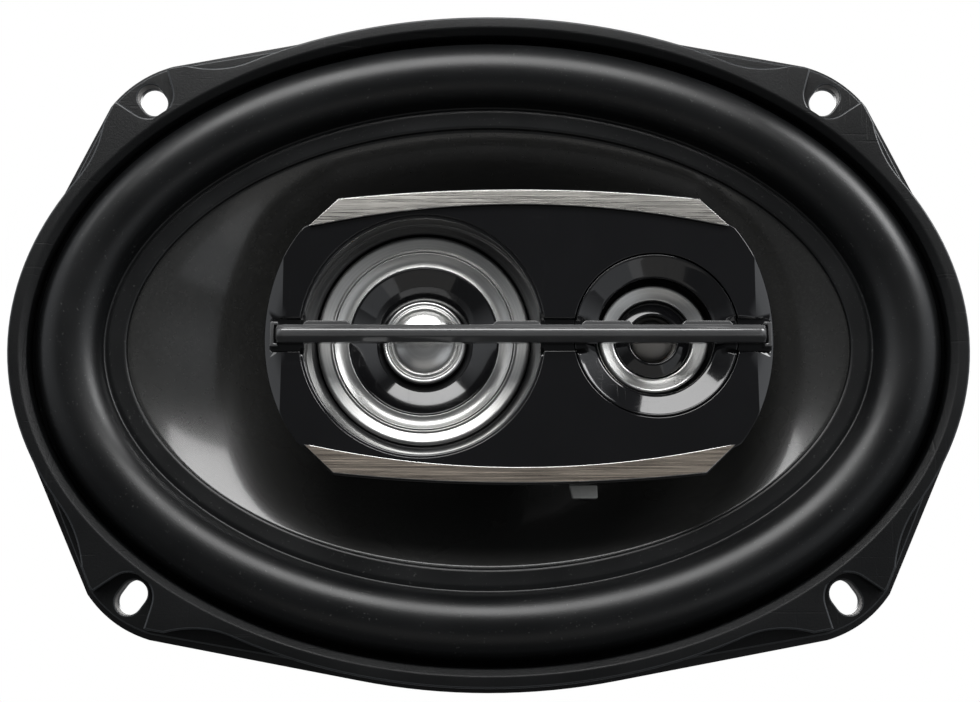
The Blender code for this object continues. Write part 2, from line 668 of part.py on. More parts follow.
def terminals(frame):
    """Riveted board with the two blade terminals, on the basket's left spoke."""
    low = (BOARD_X - BOARD_LENGTH / 2, -BOARD_WIDTH / 2, BOARD_FRONT_Z - BOARD_T)
    high = (BOARD_X + BOARD_LENGTH / 2, BOARD_WIDTH / 2, BOARD_FRONT_Z)
    board = box("terminal_board", low, high, "board_phenolic", frame)
    rivet_x = BOARD_X + BOARD_LENGTH / 2 - 3.6
    rivet = smooth_solid_cylinder(
        "board_rivet_hole", RIVET_R + GAP, low[2] - 2, high[2] + 2, frame, rivet_x, 0.0, TINY_STEPS)
    cut(board, rivet)
    front_z = SHELF_Z - SHELL_T - GAP
    profile = [(0.0, low[2] - GAP - 1.0), (2.2, low[2] - GAP - 0.9), (2.6, low[2] - GAP), (RIVET_R, low[2] - GAP)]
    profile += [(RIVET_R, high[2] + GAP), (2.4, high[2] + GAP), (2.4, front_z), (0.0, front_z)]
    round_solid("terminal_rivet", profile, "zinc_steel", frame, (rivet_x, 0.0, 0.0), TINY_STEPS)
    widths = {"terminal_positive": POSITIVE_TAB_WIDTH, "terminal_negative": NEGATIVE_TAB_WIDTH}
    for (name, width), y in zip(widths.items(), (TAB_Y, -TAB_Y)):
        terminal_tab(name, width, y, low[2] - GAP, frame)


def terminal_tab(name, width, y, front_z, frame):
    """A blade whose foot lies behind the board and whose end stands out past it."""
    right = BOARD_X + 4.0
    left = BOARD_X - BOARD_LENGTH / 2 - TAB_LENGTH + 4.0
    half = width / 2
    outline = [(right, -half), (right, half), (left + 1.6, half), (left, half - 1.2)]
    outline += [(left, 1.2 - half), (left + 1.6, -half)]
    tab = prism(name, outline, front_z - TAB_T, front_z, "tab_brass", frame, (0.0, y, 0.0))
    hole = smooth_solid_cylinder(
        name + "_hole", 0.9, front_z - 3, front_z + 3, frame, left + 4.2, y, TINY_STEPS)
    cut(tab, hole)


def tinsel_leads(parent):
    """Two braided leads that rise from the board, through the windows, to the back of the cone."""
    for name, side in (("tinsel_lead_positive", 1), ("tinsel_lead_negative", -1)):
        start = Vector((BOARD_X - 4.0, side * (TAB_Y + 2.5), BOARD_FRONT_Z + GAP))
        points = [start, start + Vector((0.0, 0.0, 6.0)), start + Vector((3.5, side * 0.4, 12.0))]
        points.append(start + Vector((12.0, 0.0, 15.5)))
        points.append(start + Vector((19.5, -side * 0.6, 16.6)))
        points.append(start + Vector((26.0, -side * 1.0, 17.6)))
        lead_tube(name, smooth_path(points, 14), parent)


def smooth_path(points, count):
    """A Catmull-Rom curve through the points, read at count places."""
    path = []
    last = len(points) - 1
    for i in range(count):
        t = last * i / (count - 1)
        k = min(int(t), last - 1)
        u = t - k
        a = points[max(k - 1, 0)]
        b = points[k]
        c = points[k + 1]
        d = points[min(k + 2, last)]
        curve = 2 * b + (c - a) * u + (2 * a - 5 * b + 4 * c - d) * u ** 2
        path.append((curve + (3 * b - a - 3 * c + d) * u ** 3) / 2)
    return path


def lead_tube(name, path, parent):
    loops = []
    side = Vector((0.0, 1.0, 0.0))
    for i, point in enumerate(path):
        ahead = path[min(i + 1, len(path) - 1)] - path[max(i - 1, 0)]
        across = side - ahead * side.dot(ahead) / ahead.length_squared
        across.normalize()
        up = ahead.cross(across).normalized()
        turns = [2 * pi * j / 6 for j in range(6)]
        loops.append([point + (across * cos(turn) + up * sin(turn)) * LEAD_R for turn in turns])
    bm = bmesh.new()
    skin(bm, loops)
    mesh_object(name, bm, "lead_braid", parent)


# Pod


def crown(u, crown_v):
    """The height, at u, of the arc through the pod's two upper shoulders and its crown."""
    rise = crown_v - POD_SHOULDER_V
    radius = (POD_SHOULDER_U ** 2 + rise ** 2) / (2 * rise)
    return crown_v - radius + sqrt(radius ** 2 - u ** 2)


def pod_outline():
    """The pod seen from the front: bowed ends, cut corners and crowned long sides, as (u, v)."""
    quarter = []
    end_centre = POD_END - POD_END_R
    for i in range(6):
        v = POD_CORNER_V * i / 5
        quarter.append((end_centre + sqrt(POD_END_R ** 2 - v ** 2), v))
    quarter[-1] = (POD_CORNER_U, POD_CORNER_V)
    for i in range(5):
        u = POD_SHOULDER_U * (1 - i / 4)
        quarter.append((u, crown(u, POD_CROWN_V)))
    upper = quarter + [(-u, v) for u, v in reversed(quarter[:-1])]
    return upper + [(u, -v) for u, v in reversed(upper[1:-1])]


def pod_loop(scale, z, inset=0.0, clamp=None):
    loop = []
    for u, v in pod_outline():
        length = hypot(u, v)
        share = scale * (length - inset) / length
        u, v = u * share, v * share
        if clamp:
            u = max(-clamp, min(clamp, u))
        loop.append(Vector((u, v, z)))
    return loop


def pod_fascia(frame):
    """Front plate of the pod. Both ends slope back outside a straight edge."""
    bm = bmesh.new()
    loops = [pod_loop(1.0, FASCIA_REAR_Z), pod_loop(1.0, FACET_REAR_Z)]
    loops.append(pod_loop(1.0, POD_FRONT_Z - 0.4, 0.0, POD_FACET_U + 0.5))
    loops.append(pod_loop(1.0, POD_FRONT_Z, 0.4, POD_FACET_U))
    skin(bm, loops)
    fascia = mesh_object("pod_fascia", bm, "pod_gloss_black", frame, (POD_X, 0.0, 0.0))
    low_z = FASCIA_REAR_Z - 2
    high_z = POD_FRONT_Z + 2
    cut(fascia, smooth_solid_cylinder("mid_opening", MID_OPENING_R, low_z, high_z, frame, MID_X))
    cut(fascia, smooth_solid_cylinder("tweeter_opening", TWEETER_OPENING_R, low_z, high_z, frame, TWEETER_X))
    cut_channel(fascia, frame)


def cut_channel(target, frame):
    """The straight channel along the pod's middle that the bridge bar lies in."""
    low = (BAR_LEFT_X - 1.6, -CHANNEL_HALF, CHANNEL_Z)
    high = (BAR_RIGHT_X + 1.6, CHANNEL_HALF, POD_FRONT_Z + 2)
    cut(target, box(target.name + "_channel", low, high, None, frame))


def pod_housing(frame):
    """Rear shell of the pod, with a round can behind each driver."""
    bm = bmesh.new()
    front_z = FASCIA_REAR_Z - GAP
    middle_z = front_z - 5
    loops = [pod_loop(HOUSING_REAR_SCALE, HOUSING_REAR_Z), pod_loop(0.965, middle_z - 3)]
    loops += [pod_loop(0.985, middle_z), pod_loop(0.99, front_z)]
    skin(bm, loops)
    housing = mesh_object("pod_housing", bm, "pod_matt_black", frame, (POD_X, 0.0, 0.0))
    can_front_z = HOUSING_REAR_Z + 1
    mid_can = smooth_solid_cylinder("mid_can", MID_CAN_R, MID_CAN_REAR_Z, can_front_z, frame, MID_X)
    cut(housing, mid_can, "UNION")
    tweeter_can = smooth_solid_cylinder(
        "tweeter_can", TWEETER_CAN_R, TWEETER_CAN_REAR_Z, can_front_z, frame, TWEETER_X)
    cut(housing, tweeter_can, "UNION")
    bm = bmesh.new()
    loops = [pod_loop(HOUSING_REAR_SCALE, HOUSING_REAR_Z + HOUSING_T, HOUSING_T)]
    loops += [pod_loop(0.985, middle_z, HOUSING_T), pod_loop(0.985, front_z + 2, HOUSING_T)]
    skin(bm, loops)
    cut(housing, mesh_object("housing_hollow", bm, None, frame, (POD_X, 0.0, 0.0)))
    hollow_z = HOUSING_REAR_Z + HOUSING_T + 1
    mid_hollow = smooth_solid_cylinder(
        "mid_can_hollow", MID_CAN_R - HOUSING_T, MID_CAN_REAR_Z + HOUSING_T, hollow_z, frame, MID_X)
    cut(housing, mid_hollow)
    tweeter_hollow = smooth_solid_cylinder(
        "tweeter_can_hollow", TWEETER_CAN_R - HOUSING_T, TWEETER_CAN_REAR_Z + HOUSING_T, hollow_z,
        frame, TWEETER_X)
    cut(housing, tweeter_hollow)


def trim_strip(name, side, frame):
    """Brushed strip along one long side of the fascia, with the pod's cut corners."""
    outline = [(POD_CORNER_U - 0.6, POD_CORNER_V + 0.2)]
    steps = 8
    for i in range(steps + 1):
        u = POD_SHOULDER_U * (1 - 2 * i / steps)
        outline.append((u, crown(u, POD_CROWN_V) - 0.5))
    outline.append((0.6 - POD_CORNER_U, POD_CORNER_V + 0.2))
    for i in range(1, steps):
        share = 2 * i / steps - 1
        dip = (POD_STRIP_INNER_V - POD_CORNER_V) * (1 - share ** 2)
        outline.append(((POD_CORNER_U - 0.6) * share, POD_CORNER_V + dip))
    outline = [(u, side * v) for u, v in outline]
    low_z = POD_FRONT_Z + GAP
    prism(name, outline, low_z, low_z + 0.9, "brushed_aluminium", frame, (POD_X, 0.0, 0.0))


def bridge_bar(frame):
    """Slim bar across both drivers, lying in the fascia's channel, and a clip at each end."""
    low_z = CHANNEL_Z + GAP
    section = [(-BAR_HALF, low_z), (BAR_HALF, low_z), (BAR_HALF, BAR_FRONT_Z - 1.6)]
    section += [(0.7, BAR_FRONT_Z), (-0.2, BAR_FRONT_Z), (-BAR_HALF, BAR_FRONT_Z - 2.2)]
    bm = bmesh.new()
    ends = (BAR_LEFT_X, BAR_LEFT_X + 3.5, BAR_RIGHT_X - 3.5, BAR_RIGHT_X)
    loops = []
    for x, lift in zip(ends, (0.45, 1.0, 1.0, 0.45)):
        loops.append([Vector((x, y, low_z + (z - low_z) * lift)) for y, z in section])
    skin(bm, loops)
    mesh_object("bridge_bar", bm, "bar_graphite", frame, smooth=False)
    for name, x in (("bar_clip_left", BAR_LEFT_X - 0.95), ("bar_clip_right", BAR_RIGHT_X + 0.95)):
        low = (x - 0.6, -CHANNEL_HALF + 0.5, low_z)
        high = (x + 0.6, CHANNEL_HALF - 0.5, low_z + 1.8)
        box(name, low, high, "bar_graphite", frame)


def pod_tab(frame):
    """Small catch under the pod's lower edge."""
    x = POD_X + 15.2
    y = 1.5 - POD_CROWN_V
    low = (x - 3.4, y - 4.4, 8.0)
    high = (x + 3.4, y - 1.6, 10.6)
    box("pod_catch", low, high, "pod_gloss_black", frame, 0.4)


# Mid-range


def mid_range(frame, axis):
    at = (MID_X, 0.0, 0.0)
    front_z = POD_FRONT_Z - 0.4
    bezel = [(MID_BEZEL_INNER_R, MID_FRAME_Z + 0.6), (MID_BEZEL_R - 0.6, front_z), (MID_BEZEL_R, front_z)]
    bezel += [(MID_BEZEL_R, MID_FRAME_Z - 1)]
    bezel += [(MID_BEZEL_INNER_R, MID_FRAME_Z - 1)]
    cut_channel(round_solid("mid_bezel", bezel, "pod_gloss_black", frame, at), frame)
    seat_r = MID_ROLL_OUTER_R
    frame_profile = [(MID_FRAME_R, 2.8), (MID_FRAME_R, MID_FRAME_Z), (MID_FRAME_R - 0.8, MID_FRAME_Z + 0.7)]
    frame_profile += [(seat_r + 0.8, MID_FRAME_Z + 0.7), (seat_r + 0.5, MID_FRAME_Z - 0.7)]
    frame_profile += [(seat_r - 1.0, MID_FRAME_Z - 0.7), (seat_r - 1.0, 3.7), (18.9, 3.7), (18.6, -2.3)]
    frame_profile += [(11.9, -2.3), (11.9, -3.5), (19.4, -3.5), (19.9, -1.0), (19.9, 2.8)]
    round_solid("mid_frame", frame_profile, "silver_satin", frame, at)
    mid_surround(axis)
    edge_z = MID_FRAME_Z - 0.6
    cone = [(MID_ROLL_INNER_R + 1.0, edge_z - 0.9), (MID_ROLL_INNER_R + 1.0, edge_z - 0.4)]
    cone += [(MID_ROLL_INNER_R - 0.6, edge_z - 0.4), (MID_CONE_NECK_R, MID_CONE_NECK_Z + 0.6)]
    cone += [(MID_CONE_NECK_R, MID_CONE_NECK_Z), (MID_ROLL_INNER_R - 0.6, edge_z - 1.0)]
    round_solid("mid_cone", cone, "pod_gloss_black", axis)
    cap = [(MID_CAP_R - 0.3, MID_CAP_Z - 1.4), (MID_CAP_R, MID_CAP_Z), (MID_CAP_R - 0.9, MID_CAP_Z + 0.6)]
    cap += [(8.1, MID_CAP_Z - 0.4)]
    for i in range(1, 4):
        turn = radians(25) * i / 3 * 1.6
        cap.append((8.1 * cos(turn * 2.2), MID_CAP_Z - 0.4 + 3.0 * sin(turn * 2.2)))
    cap = [(0.0, MID_CAP_Z - 1.4)] + cap + [(0.0, MID_CAP_Z + 2.7)]
    round_solid("mid_dust_cap", cap, "silver_film", axis, steps=SMALL_STEPS)
    coil = [(8.6, -6.0), (9.2, -6.0), (9.2, MID_CAP_Z - 1.4 - GAP), (8.6, MID_CAP_Z - 1.4 - GAP)]
    round_solid("mid_voice_coil", coil, "copper_wire", axis, steps=SMALL_STEPS)
    yoke = [(0.0, -10.6), (11.5, -10.6), (11.5, -3.9), (9.9, -3.9), (9.9, -9.2), (0.0, -9.2)]
    round_solid("mid_yoke", yoke, "zinc_steel", frame, at, SMALL_STEPS)
    magnet = [(0.0, -8.9), (7.6, -8.9), (7.6, -6.0), (0.0, -6.0)]
    round_solid("mid_magnet", magnet, "zinc_steel", frame, at, SMALL_STEPS)
    pole = [(0.0, -5.7), (8.0, -5.7), (8.0, -4.0), (0.0, -4.0)]
    round_solid("mid_pole_plate", pole, "zinc_steel", frame, at, SMALL_STEPS)


def mid_surround(axis):
    """Silvered half-roll between the mid-range's frame and its cone."""
    seat_z = MID_FRAME_Z - 0.4
    middle = (MID_ROLL_OUTER_R + MID_ROLL_INNER_R) / 2
    half = (MID_ROLL_OUTER_R - MID_ROLL_INNER_R) / 2 - 0.2
    front = [(MID_ROLL_OUTER_R + 0.2, seat_z + 0.5)]
    rear = [(MID_ROLL_OUTER_R + 0.2, seat_z)]
    for i in range(6):
        turn = pi * i / 5
        front.append((middle + half * cos(turn), seat_z + 0.5 + 1.7 * sin(turn)))
        rear.append((middle + (half - 0.3) * cos(turn), seat_z + 1.5 * sin(turn)))
    front.append((MID_ROLL_INNER_R - 0.6, seat_z + 0.5))
    rear.append((MID_ROLL_INNER_R - 0.6, seat_z))
    round_solid("mid_surround", front + list(reversed(rear)), "silver_satin", axis)


# Tweeter


def tweeter(frame, axis):
    at = (TWEETER_X, 0.0, 0.0)
    front_z = POD_FRONT_Z - 0.3
    throat_z = TWEETER_RING_Z - 1.2
    flare = [(TWEETER_THROAT_R, throat_z), (TWEETER_FLARE_R - 0.5, front_z), (TWEETER_FLARE_R, front_z)]
    flare += [(TWEETER_FLARE_R, throat_z + 1.2), (TWEETER_THROAT_R + 1.6, throat_z - 2.4)]
    flare += [(TWEETER_THROAT_R, throat_z - 2.4)]
    cut_channel(round_solid("tweeter_flare", flare, "pod_gloss_black", frame, at), frame)
    ring = []
    middle = (TWEETER_RING_R + TWEETER_RING_INNER_R) / 2
    half = (TWEETER_RING_R - TWEETER_RING_INNER_R) / 2
    for i in range(7):
        turn = pi * i / 6
        ring.append((middle + half * cos(turn), TWEETER_RING_Z - 1.2 + 1.2 * sin(turn)))
    ring += [(TWEETER_RING_INNER_R, TWEETER_RING_Z - 2.6), (TWEETER_RING_R, TWEETER_RING_Z - 2.6)]
    round_solid("tweeter_ring", ring, "silver_satin", frame, at)
    seat_z = TWEETER_RING_Z - 2.6 - GAP
    body = [(TWEETER_THROAT_R - 0.3, seat_z - 1.5), (TWEETER_THROAT_R - 0.3, seat_z)]
    body += [(TWEETER_RING_INNER_R - 1.4, seat_z), (8.1, seat_z - 3.5), (TWEETER_THROAT_R - 1.6, seat_z - 3.5)]
    round_solid("tweeter_body", body, "pod_matt_black", frame, at)
    guide_z = TWEETER_RING_Z - 0.9
    guide = [(TWEETER_RING_INNER_R - GAP, guide_z), (6.3, TWEETER_DOME_Z + 0.9), (6.0, TWEETER_DOME_Z + 0.9)]
    guide += [(6.0, TWEETER_DOME_Z + 1.5), (TWEETER_RING_INNER_R - 1.2, guide_z + 0.2)]
    guide += [(TWEETER_RING_INNER_R - GAP, guide_z + 0.2)]
    round_solid("tweeter_guide_cone", guide, "pod_gloss_black", frame, at)
    dome = [(0.0, TWEETER_DOME_Z - 0.3), (TWEETER_DOME_R, TWEETER_DOME_Z - 0.3), (TWEETER_DOME_R, TWEETER_DOME_Z)]
    for i in range(1, 4):
        turn = pi / 2 * i / 4
        dome.append((TWEETER_DOME_R * cos(turn), TWEETER_DOME_Z + 2.4 * sin(turn)))
    dome.append((0.0, TWEETER_DOME_Z + 2.4))
    round_solid("tweeter_dome", dome, "dome_black", axis, steps=SMALL_STEPS)
    web = [(TWEETER_DOME_R + GAP, TWEETER_DOME_Z - 0.6), (7.8, TWEETER_DOME_Z - 0.6)]
    web += [(7.8, TWEETER_DOME_Z - 0.2), (6.5, TWEETER_DOME_Z + 0.3), (TWEETER_DOME_R + GAP, TWEETER_DOME_Z - 0.2)]
    round_solid("tweeter_suspension", web, "dome_black", axis, steps=SMALL_STEPS)
    top_z = TWEETER_DOME_Z - 0.6 - GAP
    coil = [(4.2, -1.2), (4.7, -1.2), (4.7, top_z), (4.2, top_z)]
    round_solid("tweeter_voice_coil", coil, "copper_wire", axis, steps=SMALL_STEPS)
    yoke = [(0.0, -5.2), (10.0, -5.2), (10.0, 0.8), (5.3, 0.8), (5.3, -0.6), (8.4, -0.6), (8.4, -3.9), (0.0, -3.9)]
    round_solid("tweeter_yoke", yoke, "zinc_steel", frame, at, SMALL_STEPS)
    magnet = [(0.0, -3.6), (3.7, -3.6), (3.7, 0.6), (0.0, 0.6)]
    round_solid("tweeter_magnet", magnet, "zinc_steel", frame, at, SMALL_STEPS)


def crossover(frame):
    """Two film capacitors between the drivers, inside the pod."""
    places = {"crossover_capacitor_mid": (17.6, 20.0, 4.0), "crossover_capacitor_tweeter": (17.6, -20.0, 3.4)}
    for name, (x, y, r) in places.items():
        bm = bmesh.new()
        half = 6.5
        turns = [2 * pi * i / TINY_STEPS for i in range(TINY_STEPS)]
        ends = ((-half, r - 0.5), (0.5 - half, r), (half - 0.5, r), (half, r - 0.5))
        loops = [[Vector((dx, size * cos(t), size * sin(t))) for t in turns] for dx, size in ends]
        skin(bm, loops)
        at = (x, y, HOUSING_REAR_Z + HOUSING_T + GAP + 4.0)
        mesh_object(name, bm, "capacitor_film", frame, at)


def main():
    clear_scene()
    frame = empty("speaker_frame", None)
    frame.matrix_world = Matrix.Rotation(radians(90), 4, "X")
    woofer_axis = empty("woofer_axis", frame)
    mid_axis = empty("mid_axis", frame, MID_X)
    tweeter_axis = empty("tweeter_axis", frame, TWEETER_X)
    basket(frame)
    front_gasket(frame)
    motor(frame)
    centre_post(frame)
    terminals(frame)
    surround(woofer_axis)
    woofer_cone(woofer_axis)
    spider(woofer_axis)
    voice_coil(woofer_axis)
    tinsel_leads(woofer_axis)
    pod_housing(frame)
    pod_fascia(frame)
    trim_strip("trim_strip_top", 1, frame)
    trim_strip("trim_strip_bottom", -1, frame)
    bridge_bar(frame)
    pod_tab(frame)
    mid_range(frame, mid_axis)
    tweeter(frame, tweeter_axis)
    crossover(frame)


main()
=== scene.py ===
"""Finished surfaces of an oval coaxial car speaker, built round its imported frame.

Shapes are drawn in millimetres on the speaker's own axes: X along the long side, Y along the short side and
Z towards the listener, with Z = 0 on the rear face of the flange. UPRIGHT stands them in the frame's metres.
"""

import json
from math import atan2, cos, exp, hypot, pi, radians, sin, sqrt

import bmesh
import bpy
from bpy.props import BoolProperty, FloatProperty, FloatVectorProperty, IntProperty, PointerProperty
from mathutils import Matrix, Vector
from mathutils.geometry import convex_hull_2d, delaunay_2d_cdt
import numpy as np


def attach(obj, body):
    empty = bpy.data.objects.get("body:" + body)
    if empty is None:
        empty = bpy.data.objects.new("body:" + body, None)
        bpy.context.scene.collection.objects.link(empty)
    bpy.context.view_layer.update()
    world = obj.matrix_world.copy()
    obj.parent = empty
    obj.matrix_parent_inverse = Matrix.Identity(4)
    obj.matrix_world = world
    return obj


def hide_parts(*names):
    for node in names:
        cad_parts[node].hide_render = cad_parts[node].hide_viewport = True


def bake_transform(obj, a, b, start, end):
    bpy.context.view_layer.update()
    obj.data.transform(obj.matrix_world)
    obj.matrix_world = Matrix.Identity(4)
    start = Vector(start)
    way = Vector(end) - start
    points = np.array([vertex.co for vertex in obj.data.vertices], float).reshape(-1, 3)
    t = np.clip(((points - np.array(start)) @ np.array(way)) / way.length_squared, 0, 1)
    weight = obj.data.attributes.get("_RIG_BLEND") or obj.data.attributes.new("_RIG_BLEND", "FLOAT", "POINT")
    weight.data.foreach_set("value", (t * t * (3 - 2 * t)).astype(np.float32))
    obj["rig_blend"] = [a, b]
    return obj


bl_info = {
    "name": "Oval Coaxial Speaker",
    "version": (1, 0, 0),
    "blender": (4, 5, 0),
    "location": "3D View > Sidebar > Speaker",
    "description": "Builds the finished pieces of an oval coaxial car speaker and a small studio round it",
    "category": "Add Mesh",
}

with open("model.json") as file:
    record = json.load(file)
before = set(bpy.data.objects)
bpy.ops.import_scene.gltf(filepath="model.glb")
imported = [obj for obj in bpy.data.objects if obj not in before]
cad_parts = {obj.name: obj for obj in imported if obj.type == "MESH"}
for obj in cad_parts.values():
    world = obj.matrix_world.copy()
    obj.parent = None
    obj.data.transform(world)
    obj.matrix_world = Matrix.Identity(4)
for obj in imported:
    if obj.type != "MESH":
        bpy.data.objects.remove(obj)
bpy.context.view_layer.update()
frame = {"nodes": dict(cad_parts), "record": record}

MM = 0.001
UPRIGHT = Matrix.Rotation(radians(90), 4, "X") @ Matrix.Scale(MM, 4)
RIM_STEPS = 192
ROUND_STEPS = 128
SMALL_STEPS = 48

# Gasket outer edge: every large ring is a constant offset from this ellipse.
RIM_A = 116.7
RIM_B = 82.5

# Mounting flange, gasket and screw ears
FLANGE_OVERHANG = 1.5
FLANGE_T = 1.4
FLANGE_INNER_OFFSET = -8.6
EAR_FLOOR_Z = 4.5
GASKET_FRONT_Z = 8.0
GASKET_INNER_OFFSET = -4.4
SLOT_X = 84.8
SLOT_Y = 61.7
SLOT_WIDTH = 6.4
SLOT_LENGTH = 8.6
EAR_AXIS = radians(54)
EAR_SPREAD = radians(20)
EAR_RECESS_R = 5.8
EAR_TIP_SIDE = Vector((95.6, 60.2))
EAR_TIP_TOP = Vector((80.2, 71.0))
EAR_BULGE = 1.6

# Basket
SKIRT_Z = -13.0
SHOULDER_A = 100.0
SHOULDER_B = 68.0
SHOULDER_Z = -18.5
SHELF_OUTER_R = 51.0
SHELF_INNER_R = 43.0
SHELF_Z = -38.8
FLOOR_Z = -52.4
FLOOR_HOLE_R = 20.0
BOWL_R = 41.5
WINDOWS = 8
SECTOR_STEPS = RIM_STEPS // WINDOWS
SIDE_STEPS = 10
WINDOW_HALF_TURN = radians(15.5)
WINDOW_CORNER = 4.4
WINDOW_TOP_SHARE = 0.96

# Woofer
FOOT_Z = 2.3
ROLL_OUTER_OFFSET = -5.8
ROLL_INNER_OFFSET = -22.0
LIP_INNER_OFFSET = -27.5
LIP_Z = 1.4
CONE_T = 0.8
CONE_CURVE = 1.1
NECK_R = 16.2
FORMER_INNER_R = 15.2
FORMER_OUTER_R = 15.8
SPIDER_Z = -37.6
SPIDER_OUTER_R = 49.0
MAGNET_R = 47.0
MAGNET_REAR_Z = -76.6
PLATE_FRONT_Z = -54.3
PLATE_REAR_Z = -59.3
BACK_PLATE_REAR_Z = -82.0
BOOT_R = 49.4
BOOT_REAR_Z = -84.3
RIVET_CIRCLE_R = 31.0

# Terminal board
BOARD_X = -57.0
BOARD_LENGTH = 22.0
BOARD_WIDTH = 27.0
BOARD_T = 1.6
BOARD_FRONT_Z = -43.4
TAB_Y = 8.5
TAB_LENGTH = 13.0

# Pod
POD_X = 7.3
POD_END = 61.0
POD_END_R = 42.3
POD_CORNER_U = 51.0
POD_CORNER_V = 26.1
POD_SHOULDER_U = 43.5
POD_SHOULDER_V = 33.4
POD_CROWN_V = 35.7
POD_STRIP_INNER_V = 31.6
POD_FACET_U = 56.4
POD_FACET_SLOPE = 0.565
POD_FRONT_Z = 14.5
FASCIA_REAR_Z = 11.2
HOUSING_REAR_Z = 0.6
CHANNEL_HALF = 3.9
CHANNEL_Z = 13.0
BAR_LEFT_X = -50.4
BAR_RIGHT_X = 65.8
BAR_HALF = 2.1
BAR_FRONT_Z = 17.6
MID_X = -15.8
MID_OPENING_R = 29.3
MID_CAN_R = 22.0
MID_CAN_REAR_Z = -13.0
TWEETER_X = 40.0
TWEETER_OPENING_R = 19.8
TWEETER_CAN_R = 15.6
TWEETER_CAN_REAR_Z = -7.5
RING_Z = 8.0


# Sizes and colours that a user would change


def length(label, text, value):
    return FloatProperty(name=label, description=text, default=value, min=0.0, unit="LENGTH", precision=5)


def colour(label, text, value):
    return FloatVectorProperty(
        name=label, description=text, default=value, min=0.0, max=1.0, size=3, subtype="COLOR")


class SpeakerShape(bpy.types.PropertyGroup):
    roll_height: length("Roll height", "How far the surround's roll stands above its foot", 0.0069)
    surround_t: length("Surround thickness", "Thickness of the rubber", 0.0009)
    cone_depth: length("Cone depth", "From the cone's edge back to its neck", 0.035)
    gasket_edge: length("Gasket edge", "Radius of the gasket's outer edges", 0.0005)
    gasket_chamfer: length("Gasket chamfer", "Width of the slope along the gasket's inner edge", 0.0016)
    pressing_t: length("Pressing thickness", "Thickness of the basket's steel", 0.0013)
    spoke_rib: length("Spoke rib", "Depth of the rib pressed into each spoke", 0.0016)
    strip_t: length("Strip thickness", "Thickness of the aluminium strips", 0.0009)
    spider_rolls: IntProperty(name="Spider rolls", description="Corrugations of the spider", default=4, min=1)
    spider_wave: length("Spider wave", "Height of one corrugation", 0.0012)


class SpeakerColours(bpy.types.PropertyGroup):
    enamel: colour("Enamel", "Stove enamel of the basket", (0.005, 0.005, 0.0055))
    gasket: colour("Gasket", "Slate foam rubber of the gasket", (0.0030, 0.0033, 0.0036))
    rubber: colour("Rubber", "Surround", (0.0030, 0.0033, 0.0036))
    cone: colour("Cone", "Mica-filled cone", (0.0190, 0.0190, 0.0181))
    piano_black: colour("Piano black", "Gloss of the pod", (0.004, 0.004, 0.0045))
    matt_black: colour("Matt black", "Moulded housing", (0.009, 0.009, 0.0095))
    aluminium: colour("Aluminium", "Brushed strips", (0.60, 0.58, 0.54))
    # Colour of the lower strip: a brighter, warmer copy of the strip aluminium, which is a painted reflection.
    aluminium_painted_reflection: colour("Warm aluminium", "Brushed lower strip", (0.86, 0.74, 0.62))
    silver: colour("Silver", "Satin plating of the driver rings", (0.68, 0.68, 0.665))
    film: colour("Film", "Vapour-plated dust cap", (0.93, 0.93, 0.915))
    spider: colour("Spider", "Resin-stiffened cloth", (0.40, 0.28, 0.08))


class StudioSettings(bpy.types.PropertyGroup):
    distance: length("Camera distance", "From the flange to the lens", 0.3299)
    below: length("Camera drop", "How far the lens lies below the speaker's axis", 0.0550)
    tilt: FloatProperty(
        name="Tilt", description="How far the lens looks up", default=radians(9.6), subtype="ANGLE", unit="ROTATION")
    lens: FloatProperty(name="Lens", description="Focal length", default=49.52, min=1.0, unit="CAMERA")
    floor_drop: length("Floor", "How far the floor lies below the speaker's axis", 0.45)
    overhead: FloatProperty(name="Overhead", description="Power of the overhead light", default=2.0, min=0.0, unit="POWER")
    show_floor: BoolProperty(name="Floor", description="Puts a pale floor under the speaker", default=True)


# Finishes


def shade(tree, kind, inputs=None, **settings):
    """One node with its settings and inputs. An input that is a socket is linked."""
    node = tree.nodes.new(kind)
    for key, value in settings.items():
        setattr(node, key, value)
    for key, value in (inputs or {}).items():
        if isinstance(value, bpy.types.NodeSocket):
            tree.links.new(value, node.inputs[key])
        else:
            node.inputs[key].default_value = value
    return node


def new_finish(name, base, roughness, metallic=0.0, **sockets):
    """A material with its Principled shader. Returns the material, its tree and the shader."""
    material = bpy.data.materials.new(name)
    material.use_nodes = True
    tree = material.node_tree
    shader = tree.nodes["Principled BSDF"]
    shader.inputs["Base Color"].default_value = (*base, 1.0)
    shader.inputs["Roughness"].default_value = roughness
    shader.inputs["Metallic"].default_value = metallic
    for key, value in sockets.items():
        shader.inputs[key.replace("_", " ")].default_value = value
    return material, tree, shader


def place(tree, stretch=(1.0, 1.0, 1.0), shift=(0.0, 0.0, 0.0)):
    """The piece's own coordinates in metres, stretched."""
    where = shade(tree, "ShaderNodeTexCoord").outputs["Object"]
    inputs = {"Vector": where, "Scale": stretch, "Location": shift}
    return shade(tree, "ShaderNodeMapping", inputs).outputs["Vector"]


def noise(tree, vector, scale, detail=3.0, roughness=0.55):
    inputs = {"Vector": vector, "Scale": scale, "Detail": detail, "Roughness": roughness}
    return shade(tree, "ShaderNodeTexNoise", inputs).outputs["Fac"]


def spread(tree, value, low, high, start=0.3, stop=0.7):
    inputs = {"Value": value, "From Min": start, "From Max": stop, "To Min": low, "To Max": high}
    return shade(tree, "ShaderNodeMapRange", inputs).outputs["Result"]


def tint(tree, value, first, second):
    inputs = {0: value, 6: (*first, 1.0), 7: (*second, 1.0)}
    return shade(tree, "ShaderNodeMix", inputs, data_type="RGBA").outputs[2]


def add_up(tree, first, second, operation="ADD"):
    return shade(tree, "ShaderNodeMath", {0: first, 1: second}, operation=operation).outputs[0]


